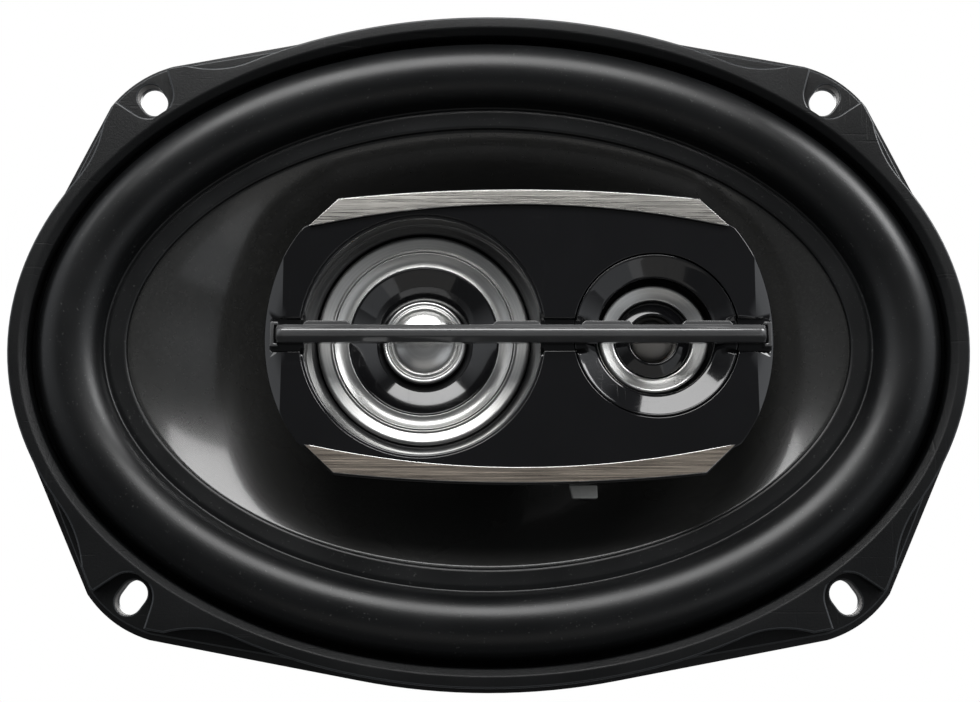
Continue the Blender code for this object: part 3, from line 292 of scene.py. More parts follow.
def relief(tree, shader, height, distance, strength=1.0):
    """Bump of the given depth, in metres."""
    inputs = {"Height": height, "Distance": distance, "Strength": strength}
    bump = shade(tree, "ShaderNodeBump", inputs)
    tree.links.new(bump.outputs["Normal"], shader.inputs["Normal"])


def connect(tree, value, shader, socket):
    tree.links.new(value, shader.inputs[socket])


def radius_from(tree, x=0.0):
    """Distance from the axis at x, in metres, read in the plane of the flange."""
    where = place(tree, (1.0, 0.0, 1.0), (-x * MM, 0.0, 0.0))
    return shade(tree, "ShaderNodeVectorMath", {0: where}, operation="LENGTH").outputs["Value"]


def scratches(tree, scale=60.0, width=0.06):
    """Fine straight marks in several directions, as a value that is 1 on a mark."""
    total = None
    for k in range(3):
        stretch = (1.0, 1.0, 22.0) if k == 0 else (22.0, 1.0, 1.0)
        where = place(tree, stretch, (0.013 * k, 0.0, 0.021 * k))
        turned = shade(tree, "ShaderNodeMapping", {"Vector": where, "Rotation": (0.0, radians(37) * k, 0.0)})
        mark = noise(tree, turned.outputs["Vector"], scale, 2.0, 0.4)
        line = spread(tree, mark, 0.0, 1.0, 0.72 - width, 0.74)
        total = line if total is None else add_up(tree, total, line, "MAXIMUM")
    return total


def moulded(name, base, roughness, grain=2600.0, depth=0.00004, pale=1.6, spread_by=0.10, dust=0.0, **sockets):
    """Moulded rubber or plastic: fine grain, uneven sheen, slow colour drift and specks of dust."""
    material, tree, shader = new_finish(name, base, roughness, 0.0, **sockets)
    fine = noise(tree, place(tree), grain, 4.0)
    slow = noise(tree, place(tree), 38.0, 3.0)
    light = tuple(min(1.0, c * pale) for c in base)
    body = tint(tree, spread(tree, slow, 0.0, 1.0), base, light)
    if dust:
        specks = noise(tree, place(tree), 1500.0, 1.0)
        grey = spread(tree, specks, 0.0, dust, 0.70, 0.76)
        body = tint(tree, grey, (0.0, 0.0, 0.0), (0.30, 0.30, 0.29)) if body is None else shade(
            tree, "ShaderNodeMix", {0: grey, 6: body, 7: (0.30, 0.30, 0.29, 1.0)}, data_type="RGBA").outputs[2]
    connect(tree, body, shader, "Base Color")
    connect(tree, spread(tree, slow, roughness - spread_by, roughness + spread_by), shader, "Roughness")
    relief(tree, shader, fine, depth)
    return material


def scuffed(name, base, roughness, mark, **sockets):
    """Soft foam rubber with a fine skin, faint pale scuffs and a slow drift of tone."""
    material, tree, shader = new_finish(name, base, roughness, 0.0, **sockets)
    slow = noise(tree, place(tree), 26.0, 4.0, 0.6)
    fine = noise(tree, place(tree), 1900.0, 4.0)
    light = tuple(c * 1.5 for c in base)
    body = tint(tree, spread(tree, slow, 0.0, 1.0, 0.3, 0.75), base, light)
    lines = scratches(tree, 55.0)
    patchy = spread(tree, noise(tree, place(tree, (1, 1, 1), (0.3, 0, 0)), 45.0, 2.0), 0.0, 0.22, 0.55, 0.75)
    worn = add_up(tree, lines, patchy, "MULTIPLY")
    both = shade(tree, "ShaderNodeMix", {0: worn, 6: body, 7: (*mark, 1.0)}, data_type="RGBA").outputs[2]
    connect(tree, both, shader, "Base Color")
    connect(tree, spread(tree, slow, roughness - 0.10, roughness + 0.06), shader, "Roughness")
    pores = add_up(tree, fine, add_up(tree, lines, 0.5, "MULTIPLY"), "SUBTRACT")
    relief(tree, shader, pores, 0.00005)
    return material


def enamelled(name, base):
    """Stove enamel: slight orange peel and a slow drift of tone."""
    material, tree, shader = new_finish(name, base, 0.38, 0.0, Coat_Weight=0.25, Coat_Roughness=0.2)
    peel = noise(tree, place(tree), 700.0, 2.0)
    slow = noise(tree, place(tree), 30.0)
    connect(tree, tint(tree, spread(tree, slow, 0.0, 1.0), base, tuple(c * 1.7 for c in base)), shader, "Base Color")
    connect(tree, spread(tree, slow, 0.30, 0.46), shader, "Roughness")
    relief(tree, shader, peel, 0.00006)
    return material


def mica_cone(name, base):
    """Mica-filled polypropylene: satin, with fine pale flakes and faint rings left by its mould."""
    material, tree, shader = new_finish(name, base, 0.24, 0.0, Specular_IOR_Level=0.62, Coat_Weight=0.70,
                                        Coat_Roughness=0.10)
    flakes = shade(tree, "ShaderNodeTexVoronoi", {"Vector": place(tree), "Scale": 2600.0}).outputs["Color"]
    glint = shade(tree, "ShaderNodeSeparateColor", {"Color": flakes}).outputs[0]
    pale = tuple(c * 1.5 for c in base)
    body = tint(tree, spread(tree, glint, 0.0, 1.0, 0.45, 1.0), base, pale)
    connect(tree, body, shader, "Base Color")
    slow = noise(tree, place(tree), 22.0, 3.0)
    connect(tree, spread(tree, slow, 0.20, 0.30), shader, "Roughness")
    rings = noise(tree, shade(tree, "ShaderNodeCombineXYZ", {"X": radius_from(tree)}).outputs[0], 900.0, 2.0)
    relief(tree, shader, rings, 0.000003)
    return material


def piano_black(name, base):
    """Polished plastic: clear coat, a few hairlines and a slow drift of tone."""
    material, tree, shader = new_finish(name, base, 0.07, 0.0, Coat_Weight=0.6, Coat_Roughness=0.03)
    slow = noise(tree, place(tree), 20.0, 3.0)
    lines = scratches(tree, 120.0, 0.03)
    connect(tree, tint(tree, spread(tree, slow, 0.0, 1.0), base, tuple(c * 1.6 for c in base)), shader, "Base Color")
    rough = add_up(tree, spread(tree, slow, 0.05, 0.10), add_up(tree, lines, 0.12, "MULTIPLY"), "ADD")
    connect(tree, rough, shader, "Roughness")
    relief(tree, shader, noise(tree, place(tree), 90.0, 1.0), 0.00002)
    return material


def brushed(name, base, along=(8.0, 900.0, 900.0), roughness=0.30):
    """Metal brushed one way: streaks in colour, sheen and relief."""
    material, tree, shader = new_finish(name, base, roughness, 1.0)
    streak = noise(tree, place(tree, along), 6.0, 5.0, 0.65)
    broad = noise(tree, place(tree, (0.4, 1.0, 1.0)), 60.0, 2.0)
    mixed = add_up(tree, streak, add_up(tree, broad, 0.35, "MULTIPLY"), "ADD")
    dark = tuple(c * 0.62 for c in base)
    connect(tree, tint(tree, spread(tree, mixed, 0.0, 1.0, 0.45, 0.95), dark, base), shader, "Base Color")
    connect(tree, spread(tree, streak, roughness - 0.10, roughness + 0.14), shader, "Roughness")
    relief(tree, shader, streak, 0.00004)
    return material


def turned_metal(name, base, roughness, x=0.0, pitch=2200.0, depth=0.000012):
    """Satin or polished metal with fine circular tool marks about the axis at x."""
    material, tree, shader = new_finish(name, base, roughness, 1.0)
    along = shade(tree, "ShaderNodeCombineXYZ", {"X": radius_from(tree, x)}).outputs[0]
    marks = noise(tree, along, pitch, 3.0, 0.6)
    slow = noise(tree, place(tree), 60.0, 2.0)
    dark = tuple(c * 0.80 for c in base)
    connect(tree, tint(tree, spread(tree, marks, 0.0, 1.0), dark, base), shader, "Base Color")
    connect(tree, spread(tree, slow, roughness - 0.05, roughness + 0.08), shader, "Roughness")
    relief(tree, shader, marks, depth)
    return material


def plated(name, base, roughness=0.32):
    """Zinc plating: mottled crystals and dull patches."""
    material, tree, shader = new_finish(name, base, roughness, 1.0)
    cells = shade(tree, "ShaderNodeTexVoronoi", {"Vector": place(tree), "Scale": 420.0}).outputs["Distance"]
    slow = noise(tree, place(tree), 70.0, 4.0)
    dark = tuple(c * 0.7 for c in base)
    connect(tree, tint(tree, spread(tree, slow, 0.0, 1.0), dark, base), shader, "Base Color")
    connect(tree, spread(tree, slow, roughness - 0.08, roughness + 0.16), shader, "Roughness")
    relief(tree, shader, add_up(tree, cells, noise(tree, place(tree), 2500.0), "ADD"), 0.00002)
    return material


def ground_ferrite(name, base):
    """Sintered ferrite: gritty, with brighter grains and small chips."""
    material, tree, shader = new_finish(name, base, 0.7)
    grit = noise(tree, place(tree), 3000.0, 5.0, 0.7)
    chips = noise(tree, place(tree), 180.0, 2.0)
    connect(tree, tint(tree, spread(tree, grit, 0.0, 1.0), base, (0.075, 0.075, 0.08)), shader, "Base Color")
    connect(tree, spread(tree, chips, 0.55, 0.8), shader, "Roughness")
    relief(tree, shader, add_up(tree, grit, chips, "ADD"), 0.00008)
    return material


def woven(name, base, pitch=1500.0, depth=0.00022):
    """Plain-weave cloth stiffened with resin."""
    material, tree, shader = new_finish(name, base, 0.75, 0.0, Sheen_Weight=0.3)
    where = place(tree, (pitch, pitch, pitch))
    parts = shade(tree, "ShaderNodeSeparateXYZ", {"Vector": where})
    warp = shade(tree, "ShaderNodeMath", {0: parts.outputs["X"]}, operation="SINE").outputs[0]
    weft = shade(tree, "ShaderNodeMath", {0: parts.outputs["Z"]}, operation="SINE").outputs[0]
    knots = add_up(tree, warp, weft, "MULTIPLY")
    slow = noise(tree, place(tree), 90.0, 3.0)
    # Darker where the weave dips, by a random amount: painted shade in the hollows of the weave.
    dark = tuple(c * 0.55 for c in base)
    height = spread(tree, knots, 0.0, 1.0, -1.0, 1.0)
    mixed = add_up(tree, height, slow, "MULTIPLY")
    connect(tree, tint(tree, spread(tree, mixed, 0.0, 1.0, 0.0, 0.6), dark, base), shader, "Base Color")
    connect(tree, spread(tree, slow, 0.6, 0.85), shader, "Roughness")
    relief(tree, shader, height, depth)
    return material


def wound_wire(name, base, x=0.0):
    """Enamelled wire laid turn on turn along the axis."""
    material, tree, shader = new_finish(name, base, 0.3, 1.0, Coat_Weight=0.6)
    where = shade(tree, "ShaderNodeSeparateXYZ", {"Vector": place(tree, (1.0, 22000.0, 1.0), (x, 0.0, 0.0))})
    turns = shade(tree, "ShaderNodeMath", {0: where.outputs["Y"]}, operation="SINE").outputs[0]
    height = spread(tree, turns, 0.0, 1.0, -1.0, 1.0)
    # Darker between the turns: painted shade in the grooves of the winding.
    dark = tuple(c * 0.4 for c in base)
    connect(tree, tint(tree, height, dark, base), shader, "Base Color")
    connect(tree, spread(tree, noise(tree, place(tree), 300.0), 0.22, 0.4), shader, "Roughness")
    relief(tree, shader, height, 0.00015)
    return material


def braided(name, base):
    """Tinned copper braid: strands that cross along the lead."""
    material, tree, shader = new_finish(name, base, 0.42, 0.9)
    parts = shade(tree, "ShaderNodeSeparateXYZ", {"Vector": place(tree, (5200.0, 5200.0, 5200.0))})
    sway = add_up(tree, parts.outputs["X"], parts.outputs["Y"], "ADD")
    back = add_up(tree, parts.outputs["Z"], parts.outputs["Y"], "SUBTRACT")
    first = shade(tree, "ShaderNodeMath", {0: sway}, operation="SINE").outputs[0]
    second = shade(tree, "ShaderNodeMath", {0: back}, operation="SINE").outputs[0]
    height = spread(tree, add_up(tree, first, second, "MAXIMUM"), 0.0, 1.0, -1.0, 1.0)
    # Darker where the strands dip: painted shade between the strands.
    dark = tuple(c * 0.35 for c in base)
    connect(tree, tint(tree, height, dark, base), shader, "Base Color")
    connect(tree, spread(tree, height, 0.6, 0.35), shader, "Roughness")
    relief(tree, shader, height, 0.0002)
    return material


def layered_board(name, base):
    """Phenolic board: paper fibres in brown resin."""
    material, tree, shader = new_finish(name, base, 0.5)
    fibres = noise(tree, place(tree, (3.0, 30.0, 1.0)), 130.0, 5.0, 0.7)
    connect(tree, tint(tree, spread(tree, fibres, 0.0, 1.0), base, tuple(c * 2.0 for c in base)), shader, "Base Color")
    connect(tree, spread(tree, fibres, 0.4, 0.6), shader, "Roughness")
    relief(tree, shader, fibres, 0.00005)
    return material


def make_finishes(colours):
    """Every finish of the speaker by name."""
    silver = tuple(colours.silver)
    gasket = tuple(colours.gasket)
    steel = (0.55, 0.55, 0.52)
    return {
        "enamel": enamelled("basket_enamel", tuple(colours.enamel)),
        "gasket": scuffed("gasket_slate", gasket, 0.50, (0.045, 0.045, 0.045), Specular_IOR_Level=0.30),
        # Rounded gasket edges: a lighter copy of the slate, partly rubbed wear and partly a painted highlight along the
        # bevels.
        "gasket_edge": scuffed("gasket_edge_wear_and_painted_highlight", tuple(c * 7 for c in gasket), 0.36, (0.10, 0.10, 0.10), Specular_IOR_Level=0.6),
        # Walls of the screw holes: a pale grey that is painted light, standing for the light that falls on those walls.
        "gasket_cut": moulded("gasket_slot_wall_painted_light", (0.16, 0.155, 0.15), 0.7),
        "rubber": moulded("surround_rubber", tuple(colours.rubber), 0.34, 2400.0, 0.000012, 1.5, 0.04, 0.12),
        "cone": mica_cone("cone_mica", tuple(colours.cone)),
        "piano": piano_black("pod_piano_black", tuple(colours.piano_black)),
        "matt": moulded("pod_matt_black", tuple(colours.matt_black), 0.52, 2600.0, 0.00006),
        "boot": moulded("boot_rubber", (0.015, 0.015, 0.016), 0.6, 1800.0, 0.00006, 1.8, 0.08, 0.5),
        "aluminium": brushed("strip_brushed_aluminium", tuple(colours.aluminium)),
        # Lower strip: a brighter, warmer copy of the same brushed aluminium, which is a painted reflection.
        "aluminium_painted_reflection": brushed("strip_aluminium_painted_reflection", tuple(colours.aluminium_painted_reflection)),
        "strip_edge": turned_metal("strip_bright_edge", (0.85, 0.84, 0.82), 0.22),
        "bar": moulded("bar_graphite", (0.065, 0.065, 0.066), 0.22, 900.0, 0.00001, 1.4, 0.04, 0.1, Coat_Weight=1.0),
        # The catch's pale grey is a painted reflection: the highlights of a small gloss tab, given as its colour.
        "catch": moulded("catch_painted_reflection", (0.42, 0.42, 0.40), 0.3),
        "mid_silver": turned_metal("mid_ring_silver", silver, 0.36, MID_X, 1500.0, 0.000004),
        "film": turned_metal("cap_silver_film", tuple(colours.film), 0.30, MID_X, 700.0, 0.000003),
        "tweeter_silver": turned_metal("tweeter_ring_silver", silver, 0.30, TWEETER_X, 1500.0, 0.000004),
        "dome": moulded("dome_black_cloth", (0.060, 0.057, 0.053), 0.30, 4200.0, 0.00003, 1.8, 0.05, 0.0, Sheen_Weight=0.3),
        "steel": plated("zinc_plate", steel),
        "ferrite": ground_ferrite("ferrite_grit", (0.028, 0.028, 0.030)),
        "spider": woven("spider_cloth", tuple(colours.spider)),
        "foil": turned_metal("former_foil", (0.62, 0.60, 0.56), 0.36, 0.0, 500.0),
        "copper": wound_wire("coil_copper", (0.62, 0.27, 0.12)),
        "braid": braided("lead_braid", (0.55, 0.48, 0.38)),
        "board": layered_board("board_phenolic", (0.075, 0.030, 0.013)),
        "brass": plated("tab_brass", (0.72, 0.56, 0.27), 0.28),
        "glue": moulded("neck_glue", (0.012, 0.012, 0.013), 0.3, 300.0, 0.0002),
        "film_wrap": moulded("capacitor_wrap", (0.05, 0.09, 0.20), 0.3, 500.0, 0.00003, 1.2),
    }


FINISH = {}


# Drawing


def turns(steps):
    return [2 * pi * i / steps for i in range(steps)]


def rim_loop(offset, z, steps=RIM_STEPS):
    """The rim ellipse moved outwards by offset along its normal."""
    loop = []
    for turn in turns(steps):
        nx = RIM_B * cos(turn)
        ny = RIM_A * sin(turn)
        size = hypot(nx, ny)
        loop.append(Vector((RIM_A * cos(turn) + offset * nx / size, RIM_B * sin(turn) + offset * ny / size, z)))
    return loop


def oval_loop(a, b, z, steps=RIM_STEPS, x=0.0):
    return [Vector((x + a * cos(turn), b * sin(turn), z)) for turn in turns(steps)]


def circle(x, radius, steps=ROUND_STEPS, y=0.0):
    return [Vector((x + radius * cos(turn), y + radius * sin(turn))) for turn in turns(steps)]


def soften(points, radius, steps=3, closed=True):
    """A profile with each of its corners turned into a small arc."""
    count = len(points)
    made = []
    for i, point in enumerate(points):
        here = Vector(point)
        if not closed and i in (0, count - 1):
            made.append(here)
            continue
        back = Vector(points[i - 1]) - here
        ahead = Vector(points[(i + 1) % count]) - here
        if back.length < 1e-6 or ahead.length < 1e-6 or back.angle(ahead) > radians(168):
            made.append(here)
            continue
        start = here + back.normalized() * min(radius, back.length * 0.45)
        end = here + ahead.normalized() * min(radius, ahead.length * 0.45)
        for k in range(steps + 1):
            t = k / steps
            made.append(start * (1 - t) ** 2 + here * 2 * t * (1 - t) + end * t ** 2)
    return made


def stitch(bm, first, second, slot=0, closed=True):
    """Quads between two rows of corners, or triangles where one row is a single point."""
    count = max(len(first), len(second))
    for i in range(count if closed else count - 1):
        j = (i + 1) % count
        if len(first) == 1:
            corners = (first[0], second[i], second[j])
        elif len(second) == 1:
            corners = (first[i], first[j], second[0])
        else:
            corners = (first[i], first[j], second[j], second[i])
        face = bm.faces.new(corners)
        face.material_index = slot


def rows_of(bm, loops):
    return [[bm.verts.new(point) for point in loop] for loop in loops]


def skin(bm, rows, ring=False, slot=0):
    pairs = list(zip(rows, rows[1:]))
    if ring:
        pairs.append((rows[-1], rows[0]))
    for first, second in pairs:
        stitch(bm, first, second, slot)
    return rows


def revolve(bm, profile, x=0.0, y=0.0, steps=ROUND_STEPS):
    """A turned shape from a profile of (radius, z). Ends on the axis close, other profiles join up as rings."""
    rows = []
    for r, z in profile:
        if r < 1e-6:
            rows.append([bm.verts.new((x, y, z))])
        else:
            rows.append([bm.verts.new((x + r * cos(t), y + r * sin(t), z)) for t in turns(steps)])
    return skin(bm, rows, ring=len(rows[0]) > 1)


def signed_area(loop):
    total = 0.0
    for i, p in enumerate(loop):
        q = loop[(i + 1) % len(loop)]
        total += p.x * q.y - q.x * p.y
    return total / 2


def thin_out(loop, gap=0.12):
    """The loop without points that crowd their neighbour."""
    made = []
    for point in loop:
        if not made or (point - made[-1]).length > gap:
            made.append(point)
    while len(made) > 3 and (made[0] - made[-1]).length <= gap:
        made.pop()
    return made


def figure(outlines, keep):
    """Border loops of the flat figure whose triangles keep accepts, from the outlines that each lies in."""
    points, faces = [], []
    for outline in outlines:
        loop = [Vector((p[0], p[1])) for p in outline]
        if signed_area(loop) < 0:
            loop.reverse()
        faces.append(list(range(len(points), len(points) + len(loop))))
        points += loop
    corners, _, triangles, _, _, origins = delaunay_2d_cdt(points, [], faces, 0, 1e-4, True)
    onward = {}
    for triangle, origin in zip(triangles, origins):
        if keep(set(origin)):
            for a, b in zip(triangle, list(triangle[1:]) + [triangle[0]]):
                if (b, a) in onward:
                    del onward[(b, a)]
                else:
                    onward[(a, b)] = True
    after = {}
    for a, b in onward:
        after.setdefault(a, []).append(b)
    loops = []
    while after:
        start = next(iter(after))
        loop, here = [], start
        while here in after:
            loop.append(Vector(corners[here]))
            heads = after[here]
            head = heads.pop()
            if not heads:
                del after[here]
            here = head
            if here == start:
                break
        loops.append(thin_out(loop))
    return [loop for loop in loops if len(loop) > 3 and abs(signed_area(loop)) > 0.05]


def inward(loop):
    """For each point, the step that moves both of its sides inwards by one."""
    steps = []
    for i, here in enumerate(loop):
        before = (here - loop[i - 1]).normalized()
        after = (loop[(i + 1) % len(loop)] - here).normalized()
        first = Vector((-before.y, before.x))
        second = Vector((-after.y, after.x))
        steps.append((first + second) / max(0.45, 1.0 + first.dot(second)))
    return steps


def cover(bm, rows, height, creases=(), slot=0):
    """Fills the flat figure between rows of corners with triangles, at height(x, y)."""
    points, faces, owners, signs = [], [], [], []
    for row in rows:
        loop = [v.co.to_2d() for v in row]
        index = list(range(len(points), len(points) + len(loop)))
        sign = 1 if signed_area(loop) > 0 else -1
        faces.append(index if sign > 0 else index[::-1])
        signs.append(sign)
        points += loop
        owners += row
    edges = []
    for a, b in creases:
        edges.append((len(points), len(points) + 1))
        points += [Vector(a), Vector(b)]
    corners, _, triangles, sources, _, origins = delaunay_2d_cdt(points, edges, faces, 0, 1e-6, True)
    verts = []
    for corner, source in zip(corners, sources):
        owned = [s for s in source if s < len(owners)]
        verts.append(owners[owned[0]] if owned else bm.verts.new((corner.x, corner.y, height(corner.x, corner.y))))
    for triangle, origin in zip(triangles, origins):
        if sum(signs[k] for k in origin) > 0:
            ends = [verts[k] for k in triangle]
            if len(set(ends)) == 3 and not bm.faces.get(ends):
                bm.faces.new(ends).material_index = slot
    for vert in verts:
        if not vert.link_faces:
            bm.verts.remove(vert)


def slab(bm, loops, low, high, edge=0.4, creases=(), edge_slot=0, steps=3):
    """A plate over the figure inside loops, from low up to high, with round front edges.

    high is a height or a function of (x, y). edge is a radius or a function of a loop.
    """
    top = high if callable(high) else lambda x, y: high
    fronts, backs = [], []
    for loop in loops:
        size = edge(loop) if callable(edge) else edge
        inwards = inward(loop)
        rows = [[bm.verts.new((p.x, p.y, low)) for p in loop]]
        for k in range(steps + 1):
            turn = pi / 2 * k / steps
            row = []
            for p, step in zip(loop, inwards):
                q = p + step * size * (1 - cos(turn))
                row.append(bm.verts.new((q.x, q.y, top(q.x, q.y) - size * (1 - sin(turn)))))
            rows.append(row)
        stitch(bm, rows[0], rows[1])
        for first, second in zip(rows[1:], rows[2:]):
            stitch(bm, first, second, edge_slot)
        fronts.append(rows[-1])
        backs.append(rows[0])
    cover(bm, fronts, top, creases)
    cover(bm, backs, lambda x, y: low)


def bar_box(bm, low, high, edge=0.3):
    """A box between two corners with rounded front edges."""
    loop = [Vector((low[0], low[1])), Vector((high[0], low[1])), Vector((high[0], high[1])), Vector((low[0], high[1]))]
    slab(bm, [[p.to_2d() for p in soften(loop, edge, 3)]], low[2], high[2], edge)


def piece(name, bm, finishes, body, nodes=(), slot=None, weigh=True, thicken=0.0, round_rims=0.0):
    """Stands bm up as a piece that moves with body and stands for nodes."""
    bmesh.ops.transform(bm, matrix=UPRIGHT, verts=bm.verts)
    if thicken == 0.0:
        bmesh.ops.recalc_face_normals(bm, faces=bm.faces)
    mesh = bpy.data.meshes.new(name)
    bm.to_mesh(mesh)
    bm.free()
    mesh.shade_smooth()
    for finish in finishes.split():
        mesh.materials.append(FINISH[finish])
    obj = bpy.data.objects.new(name, mesh)
    bpy.context.scene.collection.objects.link(obj)
    if thicken:
        solid = obj.modifiers.new("pressing", "SOLIDIFY")
        solid.thickness = thicken * MM
        solid.offset = -1.0
        solid.use_even_offset = True
    if round_rims:
        bevel = obj.modifiers.new("rims", "BEVEL")
        bevel.width = round_rims * MM
        bevel.segments = 2
        bevel.limit_method = "ANGLE"
        bevel.angle_limit = radians(55)
    if weigh:
        obj.modifiers.new("normals", "WEIGHTED_NORMAL").keep_sharp = True
    settle(obj)
    if body:
        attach(obj, body)
    if nodes:
        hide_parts(*nodes)
        if slot is None:
            subparts = {row["node"]: row["material_slot"] for row in frame["record"]["subparts"]}
            slot = subparts[nodes[0]]
    return obj


def settle(obj):
    """Applies the modifiers of obj to its mesh."""
    depsgraph = bpy.context.evaluated_depsgraph_get()
    solid = obj.evaluated_get(depsgraph)
    mesh = bpy.data.meshes.new_from_object(solid, preserve_all_data_layers=True, depsgraph=depsgraph)
    obj.modifiers.clear()
    obj.data = mesh


def bending_mesh():
    """An empty mesh whose corners can note how far they follow the moving end."""
    bm = bmesh.new()
    bm.verts.layers.float.new("travel")
    return bm


def travelling(bm, rows, shares):
    """Notes on each row of corners how far it follows the moving end."""
    layer = bm.verts.layers.float["travel"]
    for row, share in zip(rows, shares):
        for vert in row:
            vert[layer] = share


def bend(obj, body):
    """Lets obj bend between the frame and body by its travel values."""
    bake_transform(obj, "frame", body, start=(0.0, 0.0, 0.0), end=(0.0, -0.01, 0.0))
    shares = [0.0] * len(obj.data.vertices)
    obj.data.attributes["travel"].data.foreach_get("value", shares)
    obj.data.attributes["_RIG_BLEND"].data.foreach_set("value", shares)


def ease(t):
    t = max(0.0, min(1.0, t))
    return t * t * (3 - 2 * t)


# Flange, ears and gasket


def quadrants():
    return [(sx, sy) for sx in (1, -1) for sy in (1, -1)]


def ear_corner(extra, steps=24):
    """The outer corner of one ear: a flat arc between its two fin tips."""
    span = EAR_TIP_TOP - EAR_TIP_SIDE
    outwards = Vector((-span.y, span.x)).normalized()
    outwards = outwards if outwards.x > 0 else -outwards
    points = []
    for i in range(steps + 1):
        t = i / steps
        points.append(EAR_TIP_SIDE + span * t + outwards * (EAR_BULGE * 4 * t * (1 - t) + extra))
    return points


def flange_outline(offset):
    """The rim ellipse and its four ears, wrapped by straight sides."""
    points = [p.to_2d() for p in rim_loop(offset, 0.0)]
    for sx, sy in quadrants():
        points += [Vector((sx * p.x, sy * p.y)) for p in ear_corner(max(offset, 0.0) * 0.6)]
    return [points[i] for i in convex_hull_2d(points)]


def filled_in(loop, step=3.0):
    """The loop with long sides cut into shorter ones."""
    made = []
    for i, here in enumerate(loop):
        ahead = loop[(i + 1) % len(loop)]
        count = max(1, int((ahead - here).length / step))
        made += [here.lerp(ahead, k / count) for k in range(count)]
    return made


def rim_tangent(turn):
    point = Vector((RIM_A * cos(turn), RIM_B * sin(turn)))
    return point, Vector((-RIM_A * sin(turn), RIM_B * cos(turn))).normalized()


def hollow(start, control, end, steps=20):
    points = []
    for i in range(steps + 1):
        t = i / steps
        points.append(start * (1 - t) ** 2 + control * 2 * t * (1 - t) + end * t ** 2)
    return points


def ear_pad(sx, sy):
    """The raised pad round one screw ear, with hollow flanks where it leaves the rim."""
    top, top_tangent = rim_tangent(radians(59))
    side, side_tangent = rim_tangent(radians(29))
    points = [top * 0.90, side * 0.94]
    points += hollow(side, side + side_tangent * 10.5, EAR_TIP_SIDE)
    points += ear_corner(0.0)[1:-1]
    points += reversed(hollow(top, top - top_tangent * 9.5, EAR_TIP_TOP))
    return [Vector((sx * p.x, sy * p.y)) for p in points]


def ear_recess(sx, sy):
    """The screw head's recess, open outwards between the two fins."""
    centre = Vector((SLOT_X, SLOT_Y))
    points = []
    for i in range(31):
        turn = EAR_AXIS + pi / 2 + EAR_SPREAD + (pi - 2 * EAR_SPREAD) * i / 30
        points.append(centre + EAR_RECESS_R * Vector((cos(turn), sin(turn))))
    for side in (-1, 1):
        turn = EAR_AXIS + side * EAR_SPREAD
        start = points[30] if side < 0 else points[0]
        points.append(start + 22.0 * Vector((cos(turn), sin(turn))))
    return [Vector((sx * p.x, sy * p.y)) for p in points]


def screw_slot(sx, sy, grow=0.0):
    """The long screw hole, which points at the ear's corner."""
    half = (SLOT_LENGTH - SLOT_WIDTH) / 2
    along = Vector((cos(EAR_AXIS), sin(EAR_AXIS)))
    points = []
    for end in (1, -1):
        for i in range(17):
            turn = EAR_AXIS + (0 if end > 0 else pi) - pi / 2 + pi * i / 16
            radial = Vector((cos(turn), sin(turn)))
            points.append(Vector((SLOT_X, SLOT_Y)) + along * half * end + radial * (SLOT_WIDTH / 2 + grow))
    return [Vector((sx * p.x, sy * p.y)) for p in points]


def facing(loop, anticlockwise=True):
    loop = [Vector((p[0], p[1])) for p in loop]
    return loop if (signed_area(loop) > 0) == anticlockwise else loop[::-1]


def shrunk(loop, distance):
    """The outline moved inwards by distance."""
    loop = facing(filled_in(loop))
    return [p + step * distance for p, step in zip(loop, inward(loop))]


def build_gasket(shape):
    edge = shape.gasket_edge / MM
    chamfer = shape.gasket_chamfer / MM
    bm = bmesh.new()
    opening = facing([p.to_2d() for p in rim_loop(GASKET_INNER_OFFSET, 0.0)], False)
    holes = [facing(screw_slot(sx, sy), False) for sx, sy in quadrants()]
    base = FLANGE_T + 0.3
    slab(bm, [shrunk(flange_outline(0.0), 0.8), opening] + holes, base, EAR_FLOOR_Z, edge * 0.8, edge_slot=1)
    bm.normal_update()
    # The side walls round the screw holes take the third finish, the pale grey of painted light.
    for face in bm.faces:
        middle = face.calc_center_median()
        if abs(face.normal.z) < 0.3 and abs(abs(middle.x) - SLOT_X) < 5.0 and abs(abs(middle.y) - SLOT_Y) < 5.0:
            face.material_index = 2
    pads = [ear_pad(sx, sy) for sx, sy in quadrants()]
    recesses = [ear_recess(sx, sy) for sx, sy in quadrants()]
    rim = [p.to_2d() for p in rim_loop(0.0, 0.0)]
    inner = [p.to_2d() for p in rim_loop(GASKET_INNER_OFFSET + chamfer, 0.0)]
    raised = figure(
        [rim, inner] + pads + recesses + [shrunk(flange_outline(0.0), 1.9)],
        lambda inside: 0 in inside or 10 in inside and inside & {2, 3, 4, 5})
    raised = figure(raised + [inner] + recesses, lambda inside: 0 in inside and not inside & {1, 2, 3, 4, 5})
    outer = [loop for loop in raised if signed_area(loop) > 0]
    rise = soften([(GASKET_INNER_OFFSET, EAR_FLOOR_Z - 1.0), (GASKET_INNER_OFFSET, GASKET_FRONT_Z - chamfer),
                   (GASKET_INNER_OFFSET + chamfer, GASKET_FRONT_Z),
                   (GASKET_INNER_OFFSET + chamfer + 1.2, GASKET_FRONT_Z)], 0.35, 3, False)
    rows = rows_of(bm, [rim_loop(offset, z) for offset, z in rise])
    skin(bm, rows)
    hole = [v.co.to_2d() for v in rows[-1]]
    slab_with_hole(bm, outer, facing(hole, False), base, GASKET_FRONT_Z, edge)
    # Finishes: the slate; the lighter edges, which are wear with a painted highlight; the pale hole walls, which are
    # painted light.
    piece("gasket", bm, "gasket gasket_edge gasket_cut", "frame", ("front_gasket",))


def slab_with_hole(bm, outer, hole, low, high, edge):
    """A plate inside outer, whose hole is left with square edges for the neighbouring slope."""
    slab(bm, outer + [hole], low, high, lambda loop: edge if signed_area(loop) > 0 else 0.001, edge_slot=1)


# Basket


